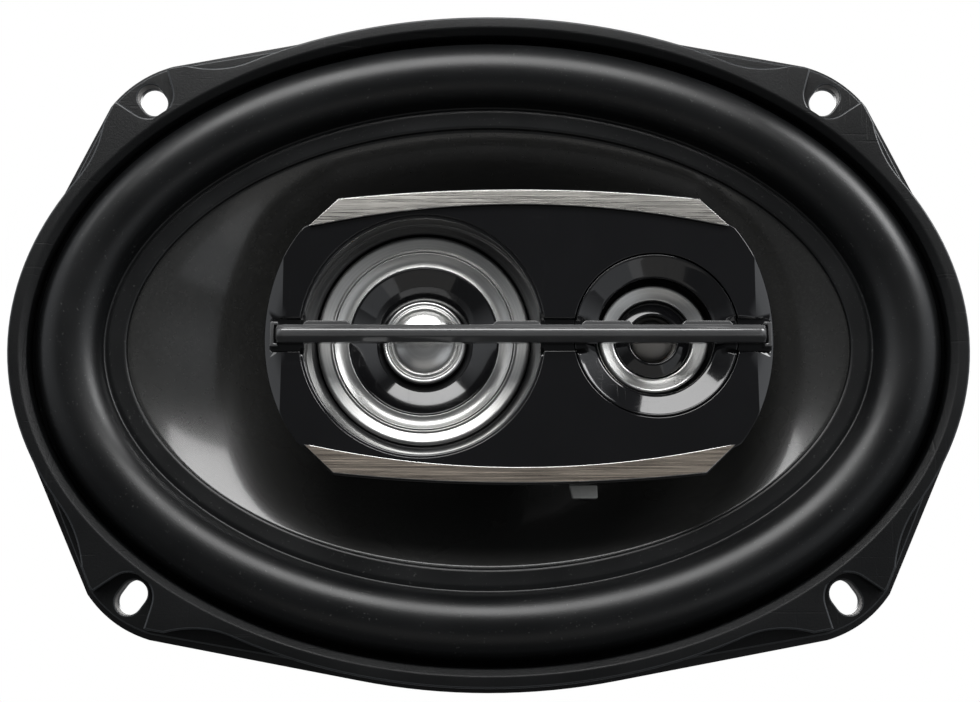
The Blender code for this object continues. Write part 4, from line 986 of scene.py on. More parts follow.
def dish_point(turn, share, rib):
    """A point of the dished part: share 0 is at the spider's shelf and share 1 at the shoulder."""
    a = SHELF_OUTER_R + (SHOULDER_A - SHELF_OUTER_R) * share
    b = SHELF_OUTER_R + (SHOULDER_B - SHELF_OUTER_R) * share
    z = SHELF_Z + (SHOULDER_Z - SHELF_Z) * share
    sector = 2 * pi / WINDOWS
    off = turn - sector * round(turn / sector)
    z -= rib * exp(-((off / radians(2.6)) ** 2)) * sqrt(max(0.0, sin(pi * share)))
    return Vector((a * cos(turn), b * sin(turn), z))


def window_place(middle, u, v, scale=1.0):
    """The turn and share of a point of a window from u and v, which run from -1 to 1 across it."""
    turn = middle + WINDOW_HALF_TURN * u * scale
    low = 0.102 * cos(turn) ** 2 + 0.235 * sin(turn) ** 2
    centre = (low + WINDOW_TOP_SHARE) / 2
    return turn, centre + (WINDOW_TOP_SHARE - low) / 2 * v * scale


def dish_sector(bm, index, edges, rib):
    """One eighth of the dish, with a round-cornered window whose edge is turned back."""
    sector = 2 * pi / WINDOWS
    start = sector * index
    middle = start + sector / 2
    border = []
    for i in range(SECTOR_STEPS):
        border.append((start + sector * i / SECTOR_STEPS, 0.0, ("low", (index * SECTOR_STEPS + i) % RIM_STEPS)))
    for j in range(SIDE_STEPS):
        key = ("side", (index + 1) % WINDOWS, j) if j else ("low", (index + 1) * SECTOR_STEPS % RIM_STEPS)
        border.append((start + sector, j / SIDE_STEPS, key))
    for i in range(SECTOR_STEPS):
        border.append((start + sector - sector * i / SECTOR_STEPS, 1.0,
                       ("high", ((index + 1) * SECTOR_STEPS - i) % RIM_STEPS)))
    for j in range(SIDE_STEPS):
        key = ("side", index, SIDE_STEPS - j) if j else ("high", index * SECTOR_STEPS % RIM_STEPS)
        border.append((start, 1.0 - j / SIDE_STEPS, key))
    rim, rings = [], []
    for turn, share, key in border:
        if key not in edges:
            edges[key] = bm.verts.new(dish_point(turn, share, rib))
        rim.append(edges[key])
    levels = 7
    for k in range(levels):
        ring = []
        for turn, share, _ in border:
            u = (turn - middle) / (sector / 2)
            v = 2 * share - 1
            angle = atan2(v, u)
            reach = (abs(cos(angle)) ** WINDOW_CORNER + abs(sin(angle)) ** WINDOW_CORNER) ** (-1 / WINDOW_CORNER)
            hole_turn, hole_share = window_place(middle, reach * cos(angle), reach * sin(angle))
            mix = (k / levels) ** 1.15
            point = dish_point(hole_turn + (turn - hole_turn) * mix, hole_share + (share - hole_share) * mix, rib)
            ring.append(bm.verts.new(point))
        rings.append(ring)
    lip = []
    for turn, share, _ in border:
        angle = atan2(2 * share - 1, (turn - middle) / (sector / 2))
        reach = (abs(cos(angle)) ** WINDOW_CORNER + abs(sin(angle)) ** WINDOW_CORNER) ** (-1 / WINDOW_CORNER)
        hole_turn, hole_share = window_place(middle, reach * cos(angle), reach * sin(angle), 0.975)
        lip.append(bm.verts.new(dish_point(hole_turn, hole_share, 0.0) - Vector((0.0, 0.0, 1.3))))
    skin(bm, [lip] + rings + [rim])


def between(first, second, t):
    return [a.lerp(b, t) for a, b in zip(first, second)]


def build_basket(shape):
    bm = bmesh.new()
    edges = {}
    rib = shape.spoke_rib / MM
    for index in range(WINDOWS):
        dish_sector(bm, index, edges, rib)
    low = [edges[("low", i)] for i in range(RIM_STEPS)]
    high = [edges[("high", i)] for i in range(RIM_STEPS)]
    shoulder = oval_loop(SHOULDER_A, SHOULDER_B, SHOULDER_Z)
    skirt = rim_loop(FLANGE_INNER_OFFSET - 0.6, SKIRT_Z)
    loops = [between(shoulder, skirt, 0.12), between(shoulder, skirt, 0.5)]
    wall = rim_loop(FLANGE_INNER_OFFSET - 0.5, SKIRT_Z + 2.6)
    for k in range(5):
        t = k / 4
        loops.append(between(between(between(shoulder, skirt, 0.7), skirt, t), between(skirt, wall, t), t))
    for offset, z in soften([(FLANGE_INNER_OFFSET - 0.3, -6.0), (FLANGE_INNER_OFFSET, -0.8),
                             (FLANGE_INNER_OFFSET, FLANGE_T), (FLANGE_INNER_OFFSET + 2.2, FLANGE_T),
                             (FLANGE_INNER_OFFSET + 2.8, FLANGE_T)], 2.0, 5, False):
        loops.append(rim_loop(offset, z))
    rows = skin(bm, [high] + rows_of(bm, loops))
    outline = [bm.verts.new((p.x, p.y, FLANGE_T)) for p in facing(filled_in(flange_outline(FLANGE_OVERHANG)))]
    slots = [[bm.verts.new((p.x, p.y, FLANGE_T)) for p in facing(screw_slot(sx, sy), False)] for sx, sy in quadrants()]
    inner = rows[-1][::-1]
    cover(bm, [outline, inner] + slots, lambda x, y: FLANGE_T)
    centre = soften([(SHELF_OUTER_R - 0.5, SHELF_Z), (SHELF_INNER_R, SHELF_Z), (BOWL_R + 0.2, SHELF_Z - 3.0),
                     (BOWL_R, FLOOR_Z), (BOWL_R - 4.5, FLOOR_Z), (BOWL_R - 5.5, FLOOR_Z + 0.7),
                     (FLOOR_HOLE_R + 4.5, FLOOR_Z + 0.7), (FLOOR_HOLE_R + 3.5, FLOOR_Z), (FLOOR_HOLE_R, FLOOR_Z)],
                    1.6, 4, False)
    skin(bm, [low] + rows_of(bm, [oval_loop(r, r, z) for r, z in centre]))
    face_front(bm)
    piece("pressed_basket", bm, "enamel", "frame", ("basket",), thicken=shape.pressing_t / MM, round_rims=0.35)


def face_front(bm):
    """Turns an open sheet so that its floor faces the listener."""
    bmesh.ops.remove_doubles(bm, verts=bm.verts, dist=1e-4)
    bmesh.ops.recalc_face_normals(bm, faces=bm.faces)
    bm.normal_update()
    floor = sum(face.normal.z * face.calc_area() for face in bm.faces)
    if floor < 0:
        bmesh.ops.reverse_faces(bm, faces=bm.faces)


# Woofer


def build_surround(shape):
    t = shape.surround_t / MM
    rise = shape.roll_height / MM
    middle = (ROLL_OUTER_OFFSET + ROLL_INNER_OFFSET) / 2
    half = (ROLL_OUTER_OFFSET - ROLL_INNER_OFFSET) / 2
    steps = 26
    front = [(GASKET_INNER_OFFSET - 0.3, FOOT_Z + t)]
    rear = [(GASKET_INNER_OFFSET - 0.3, FOOT_Z)]
    for i in range(steps + 1):
        turn = pi * i / steps
        base = FOOT_Z + (LIP_Z - FOOT_Z) * i / steps
        swell = max(0.0, sin(turn)) ** 1.08
        front.append((middle + half * cos(turn), base + t + rise * swell))
        rear.append((middle + (half - t * sin(turn) - 0.2) * cos(turn), base + rise * swell))
    bead = [(ROLL_INNER_OFFSET - 0.5, LIP_Z + t), (ROLL_INNER_OFFSET - 0.9, LIP_Z + t + 0.12)]
    bead += [(ROLL_INNER_OFFSET - 1.6, LIP_Z + t + 0.14), (ROLL_INNER_OFFSET - 2.0, LIP_Z + t + 0.02)]
    front += bead + [(LIP_INNER_OFFSET + 0.9, LIP_Z + t), (LIP_INNER_OFFSET + 0.3, LIP_Z + t - 0.15)]
    front.append((LIP_INNER_OFFSET, LIP_Z + t - 0.5))
    rear.append((LIP_INNER_OFFSET, LIP_Z))
    profile = front + rear[::-1]
    bm = bending_mesh()
    rows = skin(bm, rows_of(bm, [rim_loop(offset, z) for offset, z in profile]), ring=True)
    span = ROLL_OUTER_OFFSET - ROLL_INNER_OFFSET
    travelling(bm, rows, [ease((ROLL_OUTER_OFFSET - offset) / span) for offset, _ in profile])
    obj = piece("rubber_surround", bm, "rubber", None, ("surround",), weigh=False)
    bend(obj, "woofer")


def cone_point(share, turn, drop, depth):
    edge_a = RIM_A + LIP_INNER_OFFSET - 0.3
    edge_b = RIM_B + LIP_INNER_OFFSET - 0.3
    a = edge_a + (NECK_R - edge_a) * share
    b = edge_b + (NECK_R - edge_b) * share
    return Vector((a * cos(turn), b * sin(turn), LIP_Z - depth * share ** CONE_CURVE - drop))


def build_cone(shape):
    depth = shape.cone_depth / MM
    steps = 28
    seat = LIP_Z - 0.3
    loops = [rim_loop(ROLL_INNER_OFFSET - 0.6, seat - CONE_T), rim_loop(ROLL_INNER_OFFSET - 0.6, seat)]
    flat_edge = rim_loop(LIP_INNER_OFFSET + 0.4, seat)
    loops.append(flat_edge)
    for share in [0.008, 0.011] + [0.015 + 0.985 * i / steps for i in range(steps + 1)]:
        loops.append([cone_point(share, turn, 0.3, depth) for turn in turns(RIM_STEPS)])
    for i in range(steps, -1, -2):
        share = 0.012 + 0.988 * i / steps
        loops.append([cone_point(share, turn, 0.3 + CONE_T, depth) for turn in turns(RIM_STEPS)])
    bm = bmesh.new()
    skin(bm, rows_of(bm, loops), ring=True)
    piece("cone", bm, "cone", "woofer", ("woofer_cone",), weigh=False)
    neck = LIP_Z - depth
    outer = FORMER_OUTER_R + 0.15
    bm = bmesh.new()
    bead = [(outer, neck - 2.6), (outer + 0.9, neck - 2.6), (NECK_R + 2.0, neck - 1.6), (NECK_R + 0.9, neck - 1.3),
            (outer, neck - 1.3)]
    revolve(bm, soften(bead, 0.5))
    piece("neck_glue", bm, "glue", "woofer", ("neck_glue_ring",))


def build_spider(shape):
    wave = shape.spider_wave / MM
    start = FORMER_OUTER_R + 2.2
    stop = SHELF_INNER_R - 0.5
    t = 0.6
    front = [(FORMER_OUTER_R + 0.2, SPIDER_Z + 1.8), (FORMER_OUTER_R + 0.5, SPIDER_Z + 0.5)]
    steps = shape.spider_rolls * 14
    for i in range(steps + 1):
        r = start + (stop - start) * i / steps
        front.append((r, SPIDER_Z + wave * sin(2 * pi * shape.spider_rolls * i / steps)))
    front += [(SPIDER_OUTER_R - 3.0, SPIDER_Z), (SPIDER_OUTER_R, SPIDER_Z)]
    profile = front + [(r + (0.35 if z > SPIDER_Z + 1.5 else 0.0), z - t) for r, z in reversed(front)]
    bm = bending_mesh()
    rows = revolve(bm, profile)
    travelling(bm, rows, [1.0 - ease((r - start) / (stop - start)) for r, _ in profile])
    obj = piece("corrugated_spider", bm, "spider", None, ("spider",), weigh=False)
    bend(obj, "woofer")


def build_voice_coil():
    bm = bmesh.new()
    revolve(bm, soften([(FORMER_INNER_R, -63.0), (FORMER_OUTER_R, -63.0), (FORMER_OUTER_R, -32.0),
                        (FORMER_INNER_R, -32.0)], 0.12, 2))
    piece("coil_former", bm, "foil", "woofer", ("voice_coil_former",))
    bm = bmesh.new()
    inner = FORMER_OUTER_R + 0.1
    revolve(bm, soften([(inner, -62.6), (16.9, -62.6), (16.9, -51.0), (inner, -51.0)], 0.3, 3))
    piece("coil_winding", bm, "copper", "woofer", ("voice_coil_winding",))


# Motor


def rivet_points():
    return [(RIVET_CIRCLE_R * cos(pi / 4 + pi / 2 * i), RIVET_CIRCLE_R * sin(pi / 4 + pi / 2 * i)) for i in range(4)]


def build_motor():
    bm = bmesh.new()
    revolve(bm, soften([(17.7, PLATE_REAR_Z), (46.0, PLATE_REAR_Z), (46.0, PLATE_FRONT_Z), (17.7, PLATE_FRONT_Z)], 0.6))
    piece("front_plate", bm, "steel", "frame", ("top_plate",))
    bm = bmesh.new()
    front = PLATE_REAR_Z - 0.3
    revolve(bm, soften([(23.0, MAGNET_REAR_Z), (MAGNET_R - 1.0, MAGNET_REAR_Z), (MAGNET_R, MAGNET_REAR_Z + 1.0),
                        (MAGNET_R, front - 1.0), (MAGNET_R - 1.0, front), (23.0, front)], 0.3))
    piece("ring_magnet", bm, "ferrite", "frame", ("ferrite_magnet",))
    bm = bmesh.new()
    plate = MAGNET_REAR_Z - 0.3
    revolve(bm, soften([(4.3, -78.0), (12.0, -78.0), (12.0, BACK_PLATE_REAR_Z), (42.5, BACK_PLATE_REAR_Z),
                        (44.0, BACK_PLATE_REAR_Z + 1.5), (44.0, plate), (14.6, plate), (14.6, -54.5), (13.6, -53.5),
                        (4.3, -53.5)], 0.5))
    piece("back_plate_and_pole", bm, "steel", "frame", ("yoke",))
    build_boot()
    for i, (x, y) in enumerate(rivet_points()):
        bm = bmesh.new()
        head = FLOOR_Z + 0.8
        revolve(bm, soften([(0.0, PLATE_REAR_Z + 0.3), (1.5, PLATE_REAR_Z + 0.3), (1.5, head), (2.9, head),
                            (2.9, head + 0.4), (2.1, head + 1.1), (1.0, head + 1.35), (0.0, head + 1.4)], 0.3, 2, False),
                x, y, SMALL_STEPS)
        piece(f"plate_rivet_{i + 1}", bm, "steel", "frame", (f"motor_rivet_{i + 1}",))


def build_boot():
    """Rubber boot over the magnet, with moulded grooves on its side and rings on its back."""
    bm = bmesh.new()
    inner = BOOT_R - 1.7
    back = BOOT_REAR_Z
    profile = [(17.0, back + 0.5), (18.0, back)]
    for r in (24.0, 30.0, 36.0, 42.0):
        profile += [(r, back), (r + 0.5, back + 0.55), (r + 1.5, back + 0.55), (r + 2.0, back)]
    profile += [(BOOT_R - 3.0, back), (BOOT_R, back + 3.0)]
    for z in (-78.0, -74.0, -70.0):
        profile += [(BOOT_R, z - 0.8), (BOOT_R - 0.5, z - 0.4), (BOOT_R - 0.5, z + 0.4), (BOOT_R, z + 0.8)]
    profile += [(BOOT_R, -63.9), (BOOT_R - 0.4, -63.0), (inner, -63.0), (inner, BACK_PLATE_REAR_Z + 1.0)]
    profile += [(inner - 2.5, BACK_PLATE_REAR_Z - 0.3), (17.0, BACK_PLATE_REAR_Z - 0.3)]
    revolve(bm, soften(profile, 0.4))
    piece("rubber_boot", bm, "boot", "frame", ("magnet_boot",))


def build_post():
    bm = bmesh.new()
    end = BACK_PLATE_REAR_Z - 1.2
    thread = [(0.0, end), (3.2, end)]
    z = end + 0.3
    while z < -77.6:
        thread += [(3.45, z), (3.9, z + 0.22), (3.9, z + 0.32), (3.45, z + 0.5)]
        z += 0.6
    top = MID_CAN_REAR_Z - 0.3
    thread += [(3.9, -77.0), (3.9, top - 5.0), (6.5, top - 2.5), (6.5, top), (0.0, top)]
    revolve(bm, thread, steps=64)
    piece("threaded_post", bm, "matt", "frame", ("pod_post",))
    bm = bmesh.new()
    washer = -78.3
    revolve(bm, soften([(4.2, washer - 0.9), (9.5, washer - 0.9), (9.5, washer), (4.2, washer)], 0.25, 2), steps=64)
    piece("steel_washer", bm, "steel", "frame", ("post_washer",))
    build_nut(washer - 1.2)


def build_nut(front):
    """Hexagon nut with chamfered corners and a countersunk thread."""
    bm = bmesh.new()
    count = 96
    rear = front - 3.4
    levels = [(4.3, front, True), (7.2, front, False), (7.2, rear + 0.6, False), (6.3, rear, True), (5.0, rear, True),
              (4.2, rear + 0.6, True), (4.2, front - 0.3, True)]
    loops = []
    for r, z, is_round in levels:
        loop = []
        for turn in turns(count):
            flat = r if is_round else min(r, 6.25 / cos((turn + pi / 6) % (pi / 3) - pi / 6))
            loop.append(Vector((flat * cos(turn), flat * sin(turn), z)))
        loops.append(loop)
    skin(bm, rows_of(bm, loops), ring=True)
    piece("hex_nut", bm, "steel", "frame", ("post_nut",), round_rims=0.12)


# Terminals


def build_terminals():
    left = BOARD_X - BOARD_LENGTH / 2
    right = BOARD_X + BOARD_LENGTH / 2
    half = BOARD_WIDTH / 2
    rear = BOARD_FRONT_Z - BOARD_T
    corners = [(left, -half), (right, -half + 4.0), (right, half - 4.0), (left, half), (left, 3.0), (left + 2.5, 2.0),
               (left + 2.5, -2.0), (left, -3.0)]
    outline = [p.to_2d() for p in soften([Vector(c) for c in corners], 1.6, 5)]
    eyes = [(BOARD_X - 4.0, side * (TAB_Y + 2.5)) for side in (1, -1)]
    rivet_x = right - 3.6
    holes = [facing(circle(x, 1.2, SMALL_STEPS, y), False) for x, y in eyes]
    holes.append(facing(circle(rivet_x, 1.7, SMALL_STEPS), False))
    bm = bmesh.new()
    slab(bm, [facing(outline)] + holes, rear, BOARD_FRONT_Z, 0.2, steps=2)
    piece("phenolic_board", bm, "board", "frame", ("terminal_board",))
    bm = bmesh.new()
    for x, y in eyes:
        eyelet = [(0.95, rear - 0.35), (1.8, rear - 0.25), (1.8, rear), (1.15, rear), (1.15, BOARD_FRONT_Z),
                  (1.8, BOARD_FRONT_Z), (1.8, BOARD_FRONT_Z + 0.25), (0.95, BOARD_FRONT_Z + 0.35)]
        revolve(bm, soften(eyelet, 0.15, 2), x, y, SMALL_STEPS)
    piece("board_eyelets", bm, "brass", "frame", slot="tab_brass")
    bm = bmesh.new()
    front = SHELF_Z - 1.6
    head = [(0.0, rear - 1.4), (1.4, rear - 1.3), (2.3, rear - 0.9), (2.7, rear - 0.3), (1.5, rear - 0.3),
            (1.5, BOARD_FRONT_Z + 0.3), (2.4, BOARD_FRONT_Z + 0.3), (2.4, front), (0.0, front)]
    revolve(bm, soften(head, 0.25, 2, False), rivet_x, 0.0, SMALL_STEPS)
    piece("board_rivet", bm, "steel", "frame", ("terminal_rivet",))
    for name, node, width, y in (("blade_positive", "terminal_positive", 6.3, TAB_Y),
                                 ("blade_negative", "terminal_negative", 4.8, -TAB_Y)):
        build_blade(name, node, width, y, rear - 0.3)


def build_blade(name, node, width, y, front):
    """A blade with a pointed end, a locking hole and a wider crimped root."""
    right = BOARD_X + 4.0
    left = BOARD_X - BOARD_LENGTH / 2 - TAB_LENGTH + 4.0
    half = width / 2
    root = BOARD_X - BOARD_LENGTH / 2 + 2.0
    corners = [(right, -half - 0.6), (right, half + 0.6), (root, half + 0.6), (root - 1.2, half), (left + 1.6, half),
               (left, half - 1.2), (left, 1.2 - half), (left + 1.6, -half), (root - 1.2, -half), (root, -half - 0.6)]
    outline = [p.to_2d() + Vector((0.0, y)) for p in soften([Vector(c) for c in corners], 0.5, 3)]
    hole = facing(circle(left + 4.2, 0.9, SMALL_STEPS, y), False)
    staking = facing(circle(BOARD_X + 1.5, 0.8, SMALL_STEPS, y), False)
    bm = bmesh.new()
    slab(bm, [facing(outline), hole, staking], front - 0.8, front, 0.12, steps=2)
    piece(name, bm, "brass", "frame", (node,))


def smooth_path(points, count):
    """A smooth curve through the points, read at count places."""
    path = []
    last = len(points) - 1
    for i in range(count):
        t = last * i / (count - 1)
        k = min(int(t), last - 1)
        u = t - k
        a, b, c, d = points[max(k - 1, 0)], points[k], points[k + 1], points[min(k + 2, last)]
        curve = 2 * b + (c - a) * u + (2 * a - 5 * b + 4 * c - d) * u ** 2
        path.append((curve + (3 * b - a - 3 * c + d) * u ** 3) / 2)
    return path


def build_leads():
    for name, node, side in (("braid_positive", "tinsel_lead_positive", 1), ("braid_negative", "tinsel_lead_negative", -1)):
        start = Vector((BOARD_X - 4.0, side * (TAB_Y + 2.5), BOARD_FRONT_Z + 0.3))
        steps = ((0.0, 0.0, 0.0), (0.0, 0.0, 6.0), (3.5, side * 0.4, 12.0), (12.0, 0.0, 15.5),
                 (19.5, -side * 0.6, 16.6), (26.0, -side * 1.0, 17.6))
        path = smooth_path([start + Vector(step) for step in steps], 90)
        bm = bending_mesh()
        loops = []
        count = 16
        for i, point in enumerate(path):
            ahead = path[min(i + 1, len(path) - 1)] - path[max(i - 1, 0)]
            across = (Vector((0, 1, 0)) - ahead * ahead.y / ahead.length_squared).normalized()
            up = ahead.cross(across).normalized()
            loops.append([])
            for j in range(count):
                turn = 2 * pi * j / count
                size = 0.9 * (1 + 0.07 * sin(5 * turn + i * 0.9))
                loops[-1].append(point + (across * cos(turn) + up * sin(turn)) * size)
        rows = rows_of(bm, loops)
        rows = [[bm.verts.new(path[0])]] + rows + [[bm.verts.new(path[-1])]]
        skin(bm, rows)
        shares = [0.0] + [ease((i / (len(path) - 1) - 0.06) / 0.82) for i in range(len(path))] + [1.0]
        travelling(bm, rows, shares)
        obj = piece(name, bm, "braid", None, (node,), weigh=False)
        bend(obj, "woofer")


# Pod


def crown(u, crown_v):
    """Height at u of the arc through the pod's two upper shoulders and its crown."""
    rise = crown_v - POD_SHOULDER_V
    radius = (POD_SHOULDER_U ** 2 + rise ** 2) / (2 * rise)
    return crown_v - radius + sqrt(radius ** 2 - u ** 2)


def pod_outline(end_steps=28, side_steps=28):
    quarter = []
    centre = POD_END - POD_END_R
    for i in range(end_steps):
        v = POD_CORNER_V * i / (end_steps - 1)
        quarter.append((centre + sqrt(POD_END_R ** 2 - v ** 2), v))
    for i in range(6):
        t = (i + 1) / 6
        quarter.append((POD_CORNER_U + (POD_SHOULDER_U - POD_CORNER_U) * t,
                        POD_CORNER_V + (POD_SHOULDER_V - POD_CORNER_V) * t))
    for i in range(1, side_steps):
        u = POD_SHOULDER_U * (1 - i / (side_steps - 1))
        quarter.append((u, crown(u, POD_CROWN_V)))
    upper = quarter + [(-u, v) for u, v in reversed(quarter[:-1])]
    return [Vector(p) for p in upper + [(u, -v) for u, v in reversed(upper[1:-1])]]


def pod_loop(scale, z):
    return [Vector((p.x * scale + POD_X, p.y * scale, z)) for p in pod_outline()]


def facet_height(x, y):
    """Front of the fascia: flat, and sloping back outside a straight edge at both ends."""
    return POD_FRONT_Z - POD_FACET_SLOPE * max(0.0, abs(x - POD_X) - POD_FACET_U)


def build_fascia():
    outline = [Vector((p.x + POD_X, p.y)) for p in pod_outline()]
    mid = circle(MID_X, MID_OPENING_R)
    tweeter = circle(TWEETER_X, TWEETER_OPENING_R)
    left = BAR_LEFT_X - 1.6
    right = BAR_RIGHT_X + 1.6
    channel = [(left, -CHANNEL_HALF), (right, -CHANNEL_HALF), (right, CHANNEL_HALF), (left, CHANNEL_HALF)]
    channel = [p.to_2d() for p in soften([Vector(c) for c in channel], 0.6, 3)]
    outlines = [outline, mid, tweeter, channel]
    bm = bmesh.new()
    front = figure(outlines, lambda inside: inside == {0})
    creases = []
    for side in (-1, 1):
        for half in (-1, 1):
            x = POD_X + side * POD_FACET_U
            creases.append(((x, half * (CHANNEL_HALF + 0.5)), (x, half * 18.6)))
    slab(bm, front, FASCIA_REAR_Z, facet_height, 0.28, creases)
    floor = figure(outlines, lambda inside: inside == {0, 3})
    slab(bm, floor, FASCIA_REAR_Z, CHANNEL_Z, 0.05)
    piece("gloss_fascia", bm, "piano", "frame", ("pod_fascia",))


def build_housing():
    """Rear shell: a rounded tray with a ledge, and a round can behind each driver."""
    bm = bmesh.new()
    levels = [(0.86, HOUSING_REAR_Z), (0.885, HOUSING_REAR_Z + 0.35), (0.915, HOUSING_REAR_Z + 1.2), (0.965, 2.9),
              (0.978, 4.0), (0.985, 5.9), (0.99, 9.2), (0.965, 9.35), (0.965, 9.9), (0.99, 10.05), (0.99, 10.9)]
    rows = skin(bm, rows_of(bm, [pod_loop(scale, z) for scale, z in levels]))
    inside = skin(bm, [rows[-1]] + rows_of(bm, [pod_loop(0.955, 10.9), pod_loop(0.95, 3.5)]))
    cans = ((MID_X, MID_CAN_R, MID_CAN_REAR_Z), (TWEETER_X, TWEETER_CAN_R, TWEETER_CAN_REAR_Z))
    low, high = [], []
    for x, r, rear in cans:
        low.append([bm.verts.new((p.x, p.y, HOUSING_REAR_Z)) for p in circle(x, r - 1.4)[::-1]])
        high.append([bm.verts.new((p.x, p.y, 3.5)) for p in circle(x, r - 1.4)[::-1]])
        stitch(bm, low[-1], high[-1])
        can = [(0.0, rear + 0.5), (r * 0.45, rear + 0.5), (r * 0.5, rear), (r - 1.2, rear), (r, rear + 1.2),
               (r, HOUSING_REAR_Z - 1.0), (r + 1.6, HOUSING_REAR_Z + 0.6), (r - 1.5, HOUSING_REAR_Z + 0.6),
               (r - 1.5, rear + 1.6), (0.0, rear + 1.6)]
        revolve(bm, soften(can, 0.8, 4, False), x)
    cover(bm, [rows[0]] + low, lambda x, y: HOUSING_REAR_Z)
    cover(bm, [inside[-1]] + high, lambda x, y: 3.5)
    piece("pod_shell", bm, "matt", "frame", ("pod_housing",))


def strip_outline(side):
    steps = 40
    outline = [Vector((POD_CORNER_U - 0.6, POD_CORNER_V + 0.2))]
    for i in range(steps + 1):
        u = POD_SHOULDER_U * (1 - 2 * i / steps)
        outline.append(Vector((u, crown(u, POD_CROWN_V) - 0.5)))
    outline.append(Vector((0.6 - POD_CORNER_U, POD_CORNER_V + 0.2)))
    for i in range(1, steps):
        share = 2 * i / steps - 1
        dip = (POD_STRIP_INNER_V - POD_CORNER_V) * (1 - share ** 2)
        outline.append(Vector(((POD_CORNER_U - 0.6) * share, POD_CORNER_V + dip)))
    return facing([Vector((p.x + POD_X, side * p.y)) for p in outline])


def build_strips(shape):
    low = POD_FRONT_Z + 0.1
    for name, node, side in (("brushed_strip_top", "trim_strip_top", 1), ("brushed_strip_bottom", "trim_strip_bottom", -1)):
        bm = bmesh.new()
        slab(bm, [strip_outline(side)], low, low + shape.strip_t / MM, 0.16, edge_slot=1)
        # The lower strip takes the brighter, warmer copy of the aluminium, which is a painted reflection.
        finish = "aluminium" if side > 0 else "aluminium_painted_reflection"
        piece(name, bm, f"{finish} strip_edge", "frame", (node,))


def bar_ledges():
    """The stretches, along x, where the bar has a ledge on its upper side."""
    spans = []
    for centre, near, far in ((MID_X, 16.8, 28.2), (TWEETER_X, 5.8, 18.0)):
        spans += [(centre - far, centre - near), (centre + near, centre + far)]
    return spans


def build_bar():
    low = CHANNEL_Z + 0.2
    ridge = [(-BAR_HALF, low), (-BAR_HALF, BAR_FRONT_Z - 2.0), (-1.5, BAR_FRONT_Z - 1.1), (-0.9, BAR_FRONT_Z - 0.25),
             (0.1, BAR_FRONT_Z), (0.9, BAR_FRONT_Z - 0.2), (1.35, BAR_FRONT_Z - 0.9), (BAR_HALF, BAR_FRONT_Z - 1.5),
             (BAR_HALF, low)]
    section = soften(ridge, 0.35, 3)
    bm = bmesh.new()
    stations = [(BAR_LEFT_X, 0.62), (BAR_LEFT_X + 0.25, 0.80), (BAR_LEFT_X + 0.8, 0.93), (BAR_LEFT_X + 2.0, 1.0)]
    stations += [(x, 1.0) for x in (-30.0, -10.0, 10.0, 30.0, 50.0)]
    stations += [(BAR_RIGHT_X - 2.0, 1.0), (BAR_RIGHT_X - 0.8, 0.93), (BAR_RIGHT_X - 0.25, 0.80), (BAR_RIGHT_X, 0.62)]
    rows = rows_of(bm, [[Vector((x, p.x * (0.82 + 0.18 * lift), low + (p.y - low) * lift)) for p in section]
                        for x, lift in stations])
    skin(bm, rows)
    bm.faces.new(rows[0])
    bm.faces.new(rows[-1])
    for start, stop in bar_ledges():
        ledge = [Vector((start, 1.2)), Vector((stop, 1.2)), Vector((stop, 2.2)), Vector((stop - 0.9, 3.05)),
                 Vector((start + 0.9, 3.05)), Vector((start, 2.2))]
        slab(bm, [facing([p.to_2d() for p in soften(ledge, 0.25, 2)])], CHANNEL_Z + 0.6, BAR_FRONT_Z - 1.7, 0.2)
    piece("centre_bar", bm, "bar", "frame", ("bridge_bar",))
    for name, node, x, out in (("clip_left", "bar_clip_left", BAR_LEFT_X - 0.95, -1), ("clip_right", "bar_clip_right",
                                                                                    BAR_RIGHT_X + 0.95, 1)):
        bm = bmesh.new()
        half = CHANNEL_HALF - 0.9
        hook = [(x - out * 1.3, -half), (x + out * 0.55, -half), (x + out * 0.55, half), (x - out * 1.3, half),
                (x - out * 1.3, half - 0.8), (x - out * 0.35, half - 0.8), (x - out * 0.35, 0.8 - half),
                (x - out * 1.3, 0.8 - half)]
        slab(bm, [facing([p.to_2d() for p in soften([Vector(c) for c in hook], 0.25, 3)])], 12.4, 14.9, 0.25)
        piece(name, bm, "bar", "frame", (node,))
    build_catch()


def build_catch():
    """Small catch under the pod's lower edge, with a bevelled nose."""
    x = POD_X + 15.2
    y = 1.5 - POD_CROWN_V
    bm = bmesh.new()
    slope = [Vector((x - 2.6, y - 4.4)), Vector((x + 3.2, y - 4.4)), Vector((x + 3.2, y - 1.2)), Vector((x - 3.4, y - 1.2))]
    slab(bm, [facing([p.to_2d() for p in soften(slope, 0.4, 3)])], 7.6, lambda px, py: 10.6 - (py - y + 2.8) * 0.36, 0.3)
    # Its pale grey finish is a painted reflection.
    piece("lower_catch", bm, "catch", "frame", ("pod_catch",))


# Drivers


def notch(bm):
    """Lowers what stands up inside the bar's channel."""
    for vert in bm.verts:
        if abs(vert.co.y) < CHANNEL_HALF and vert.co.z > CHANNEL_Z - 0.1:
            vert.co.z = CHANNEL_Z - 0.1


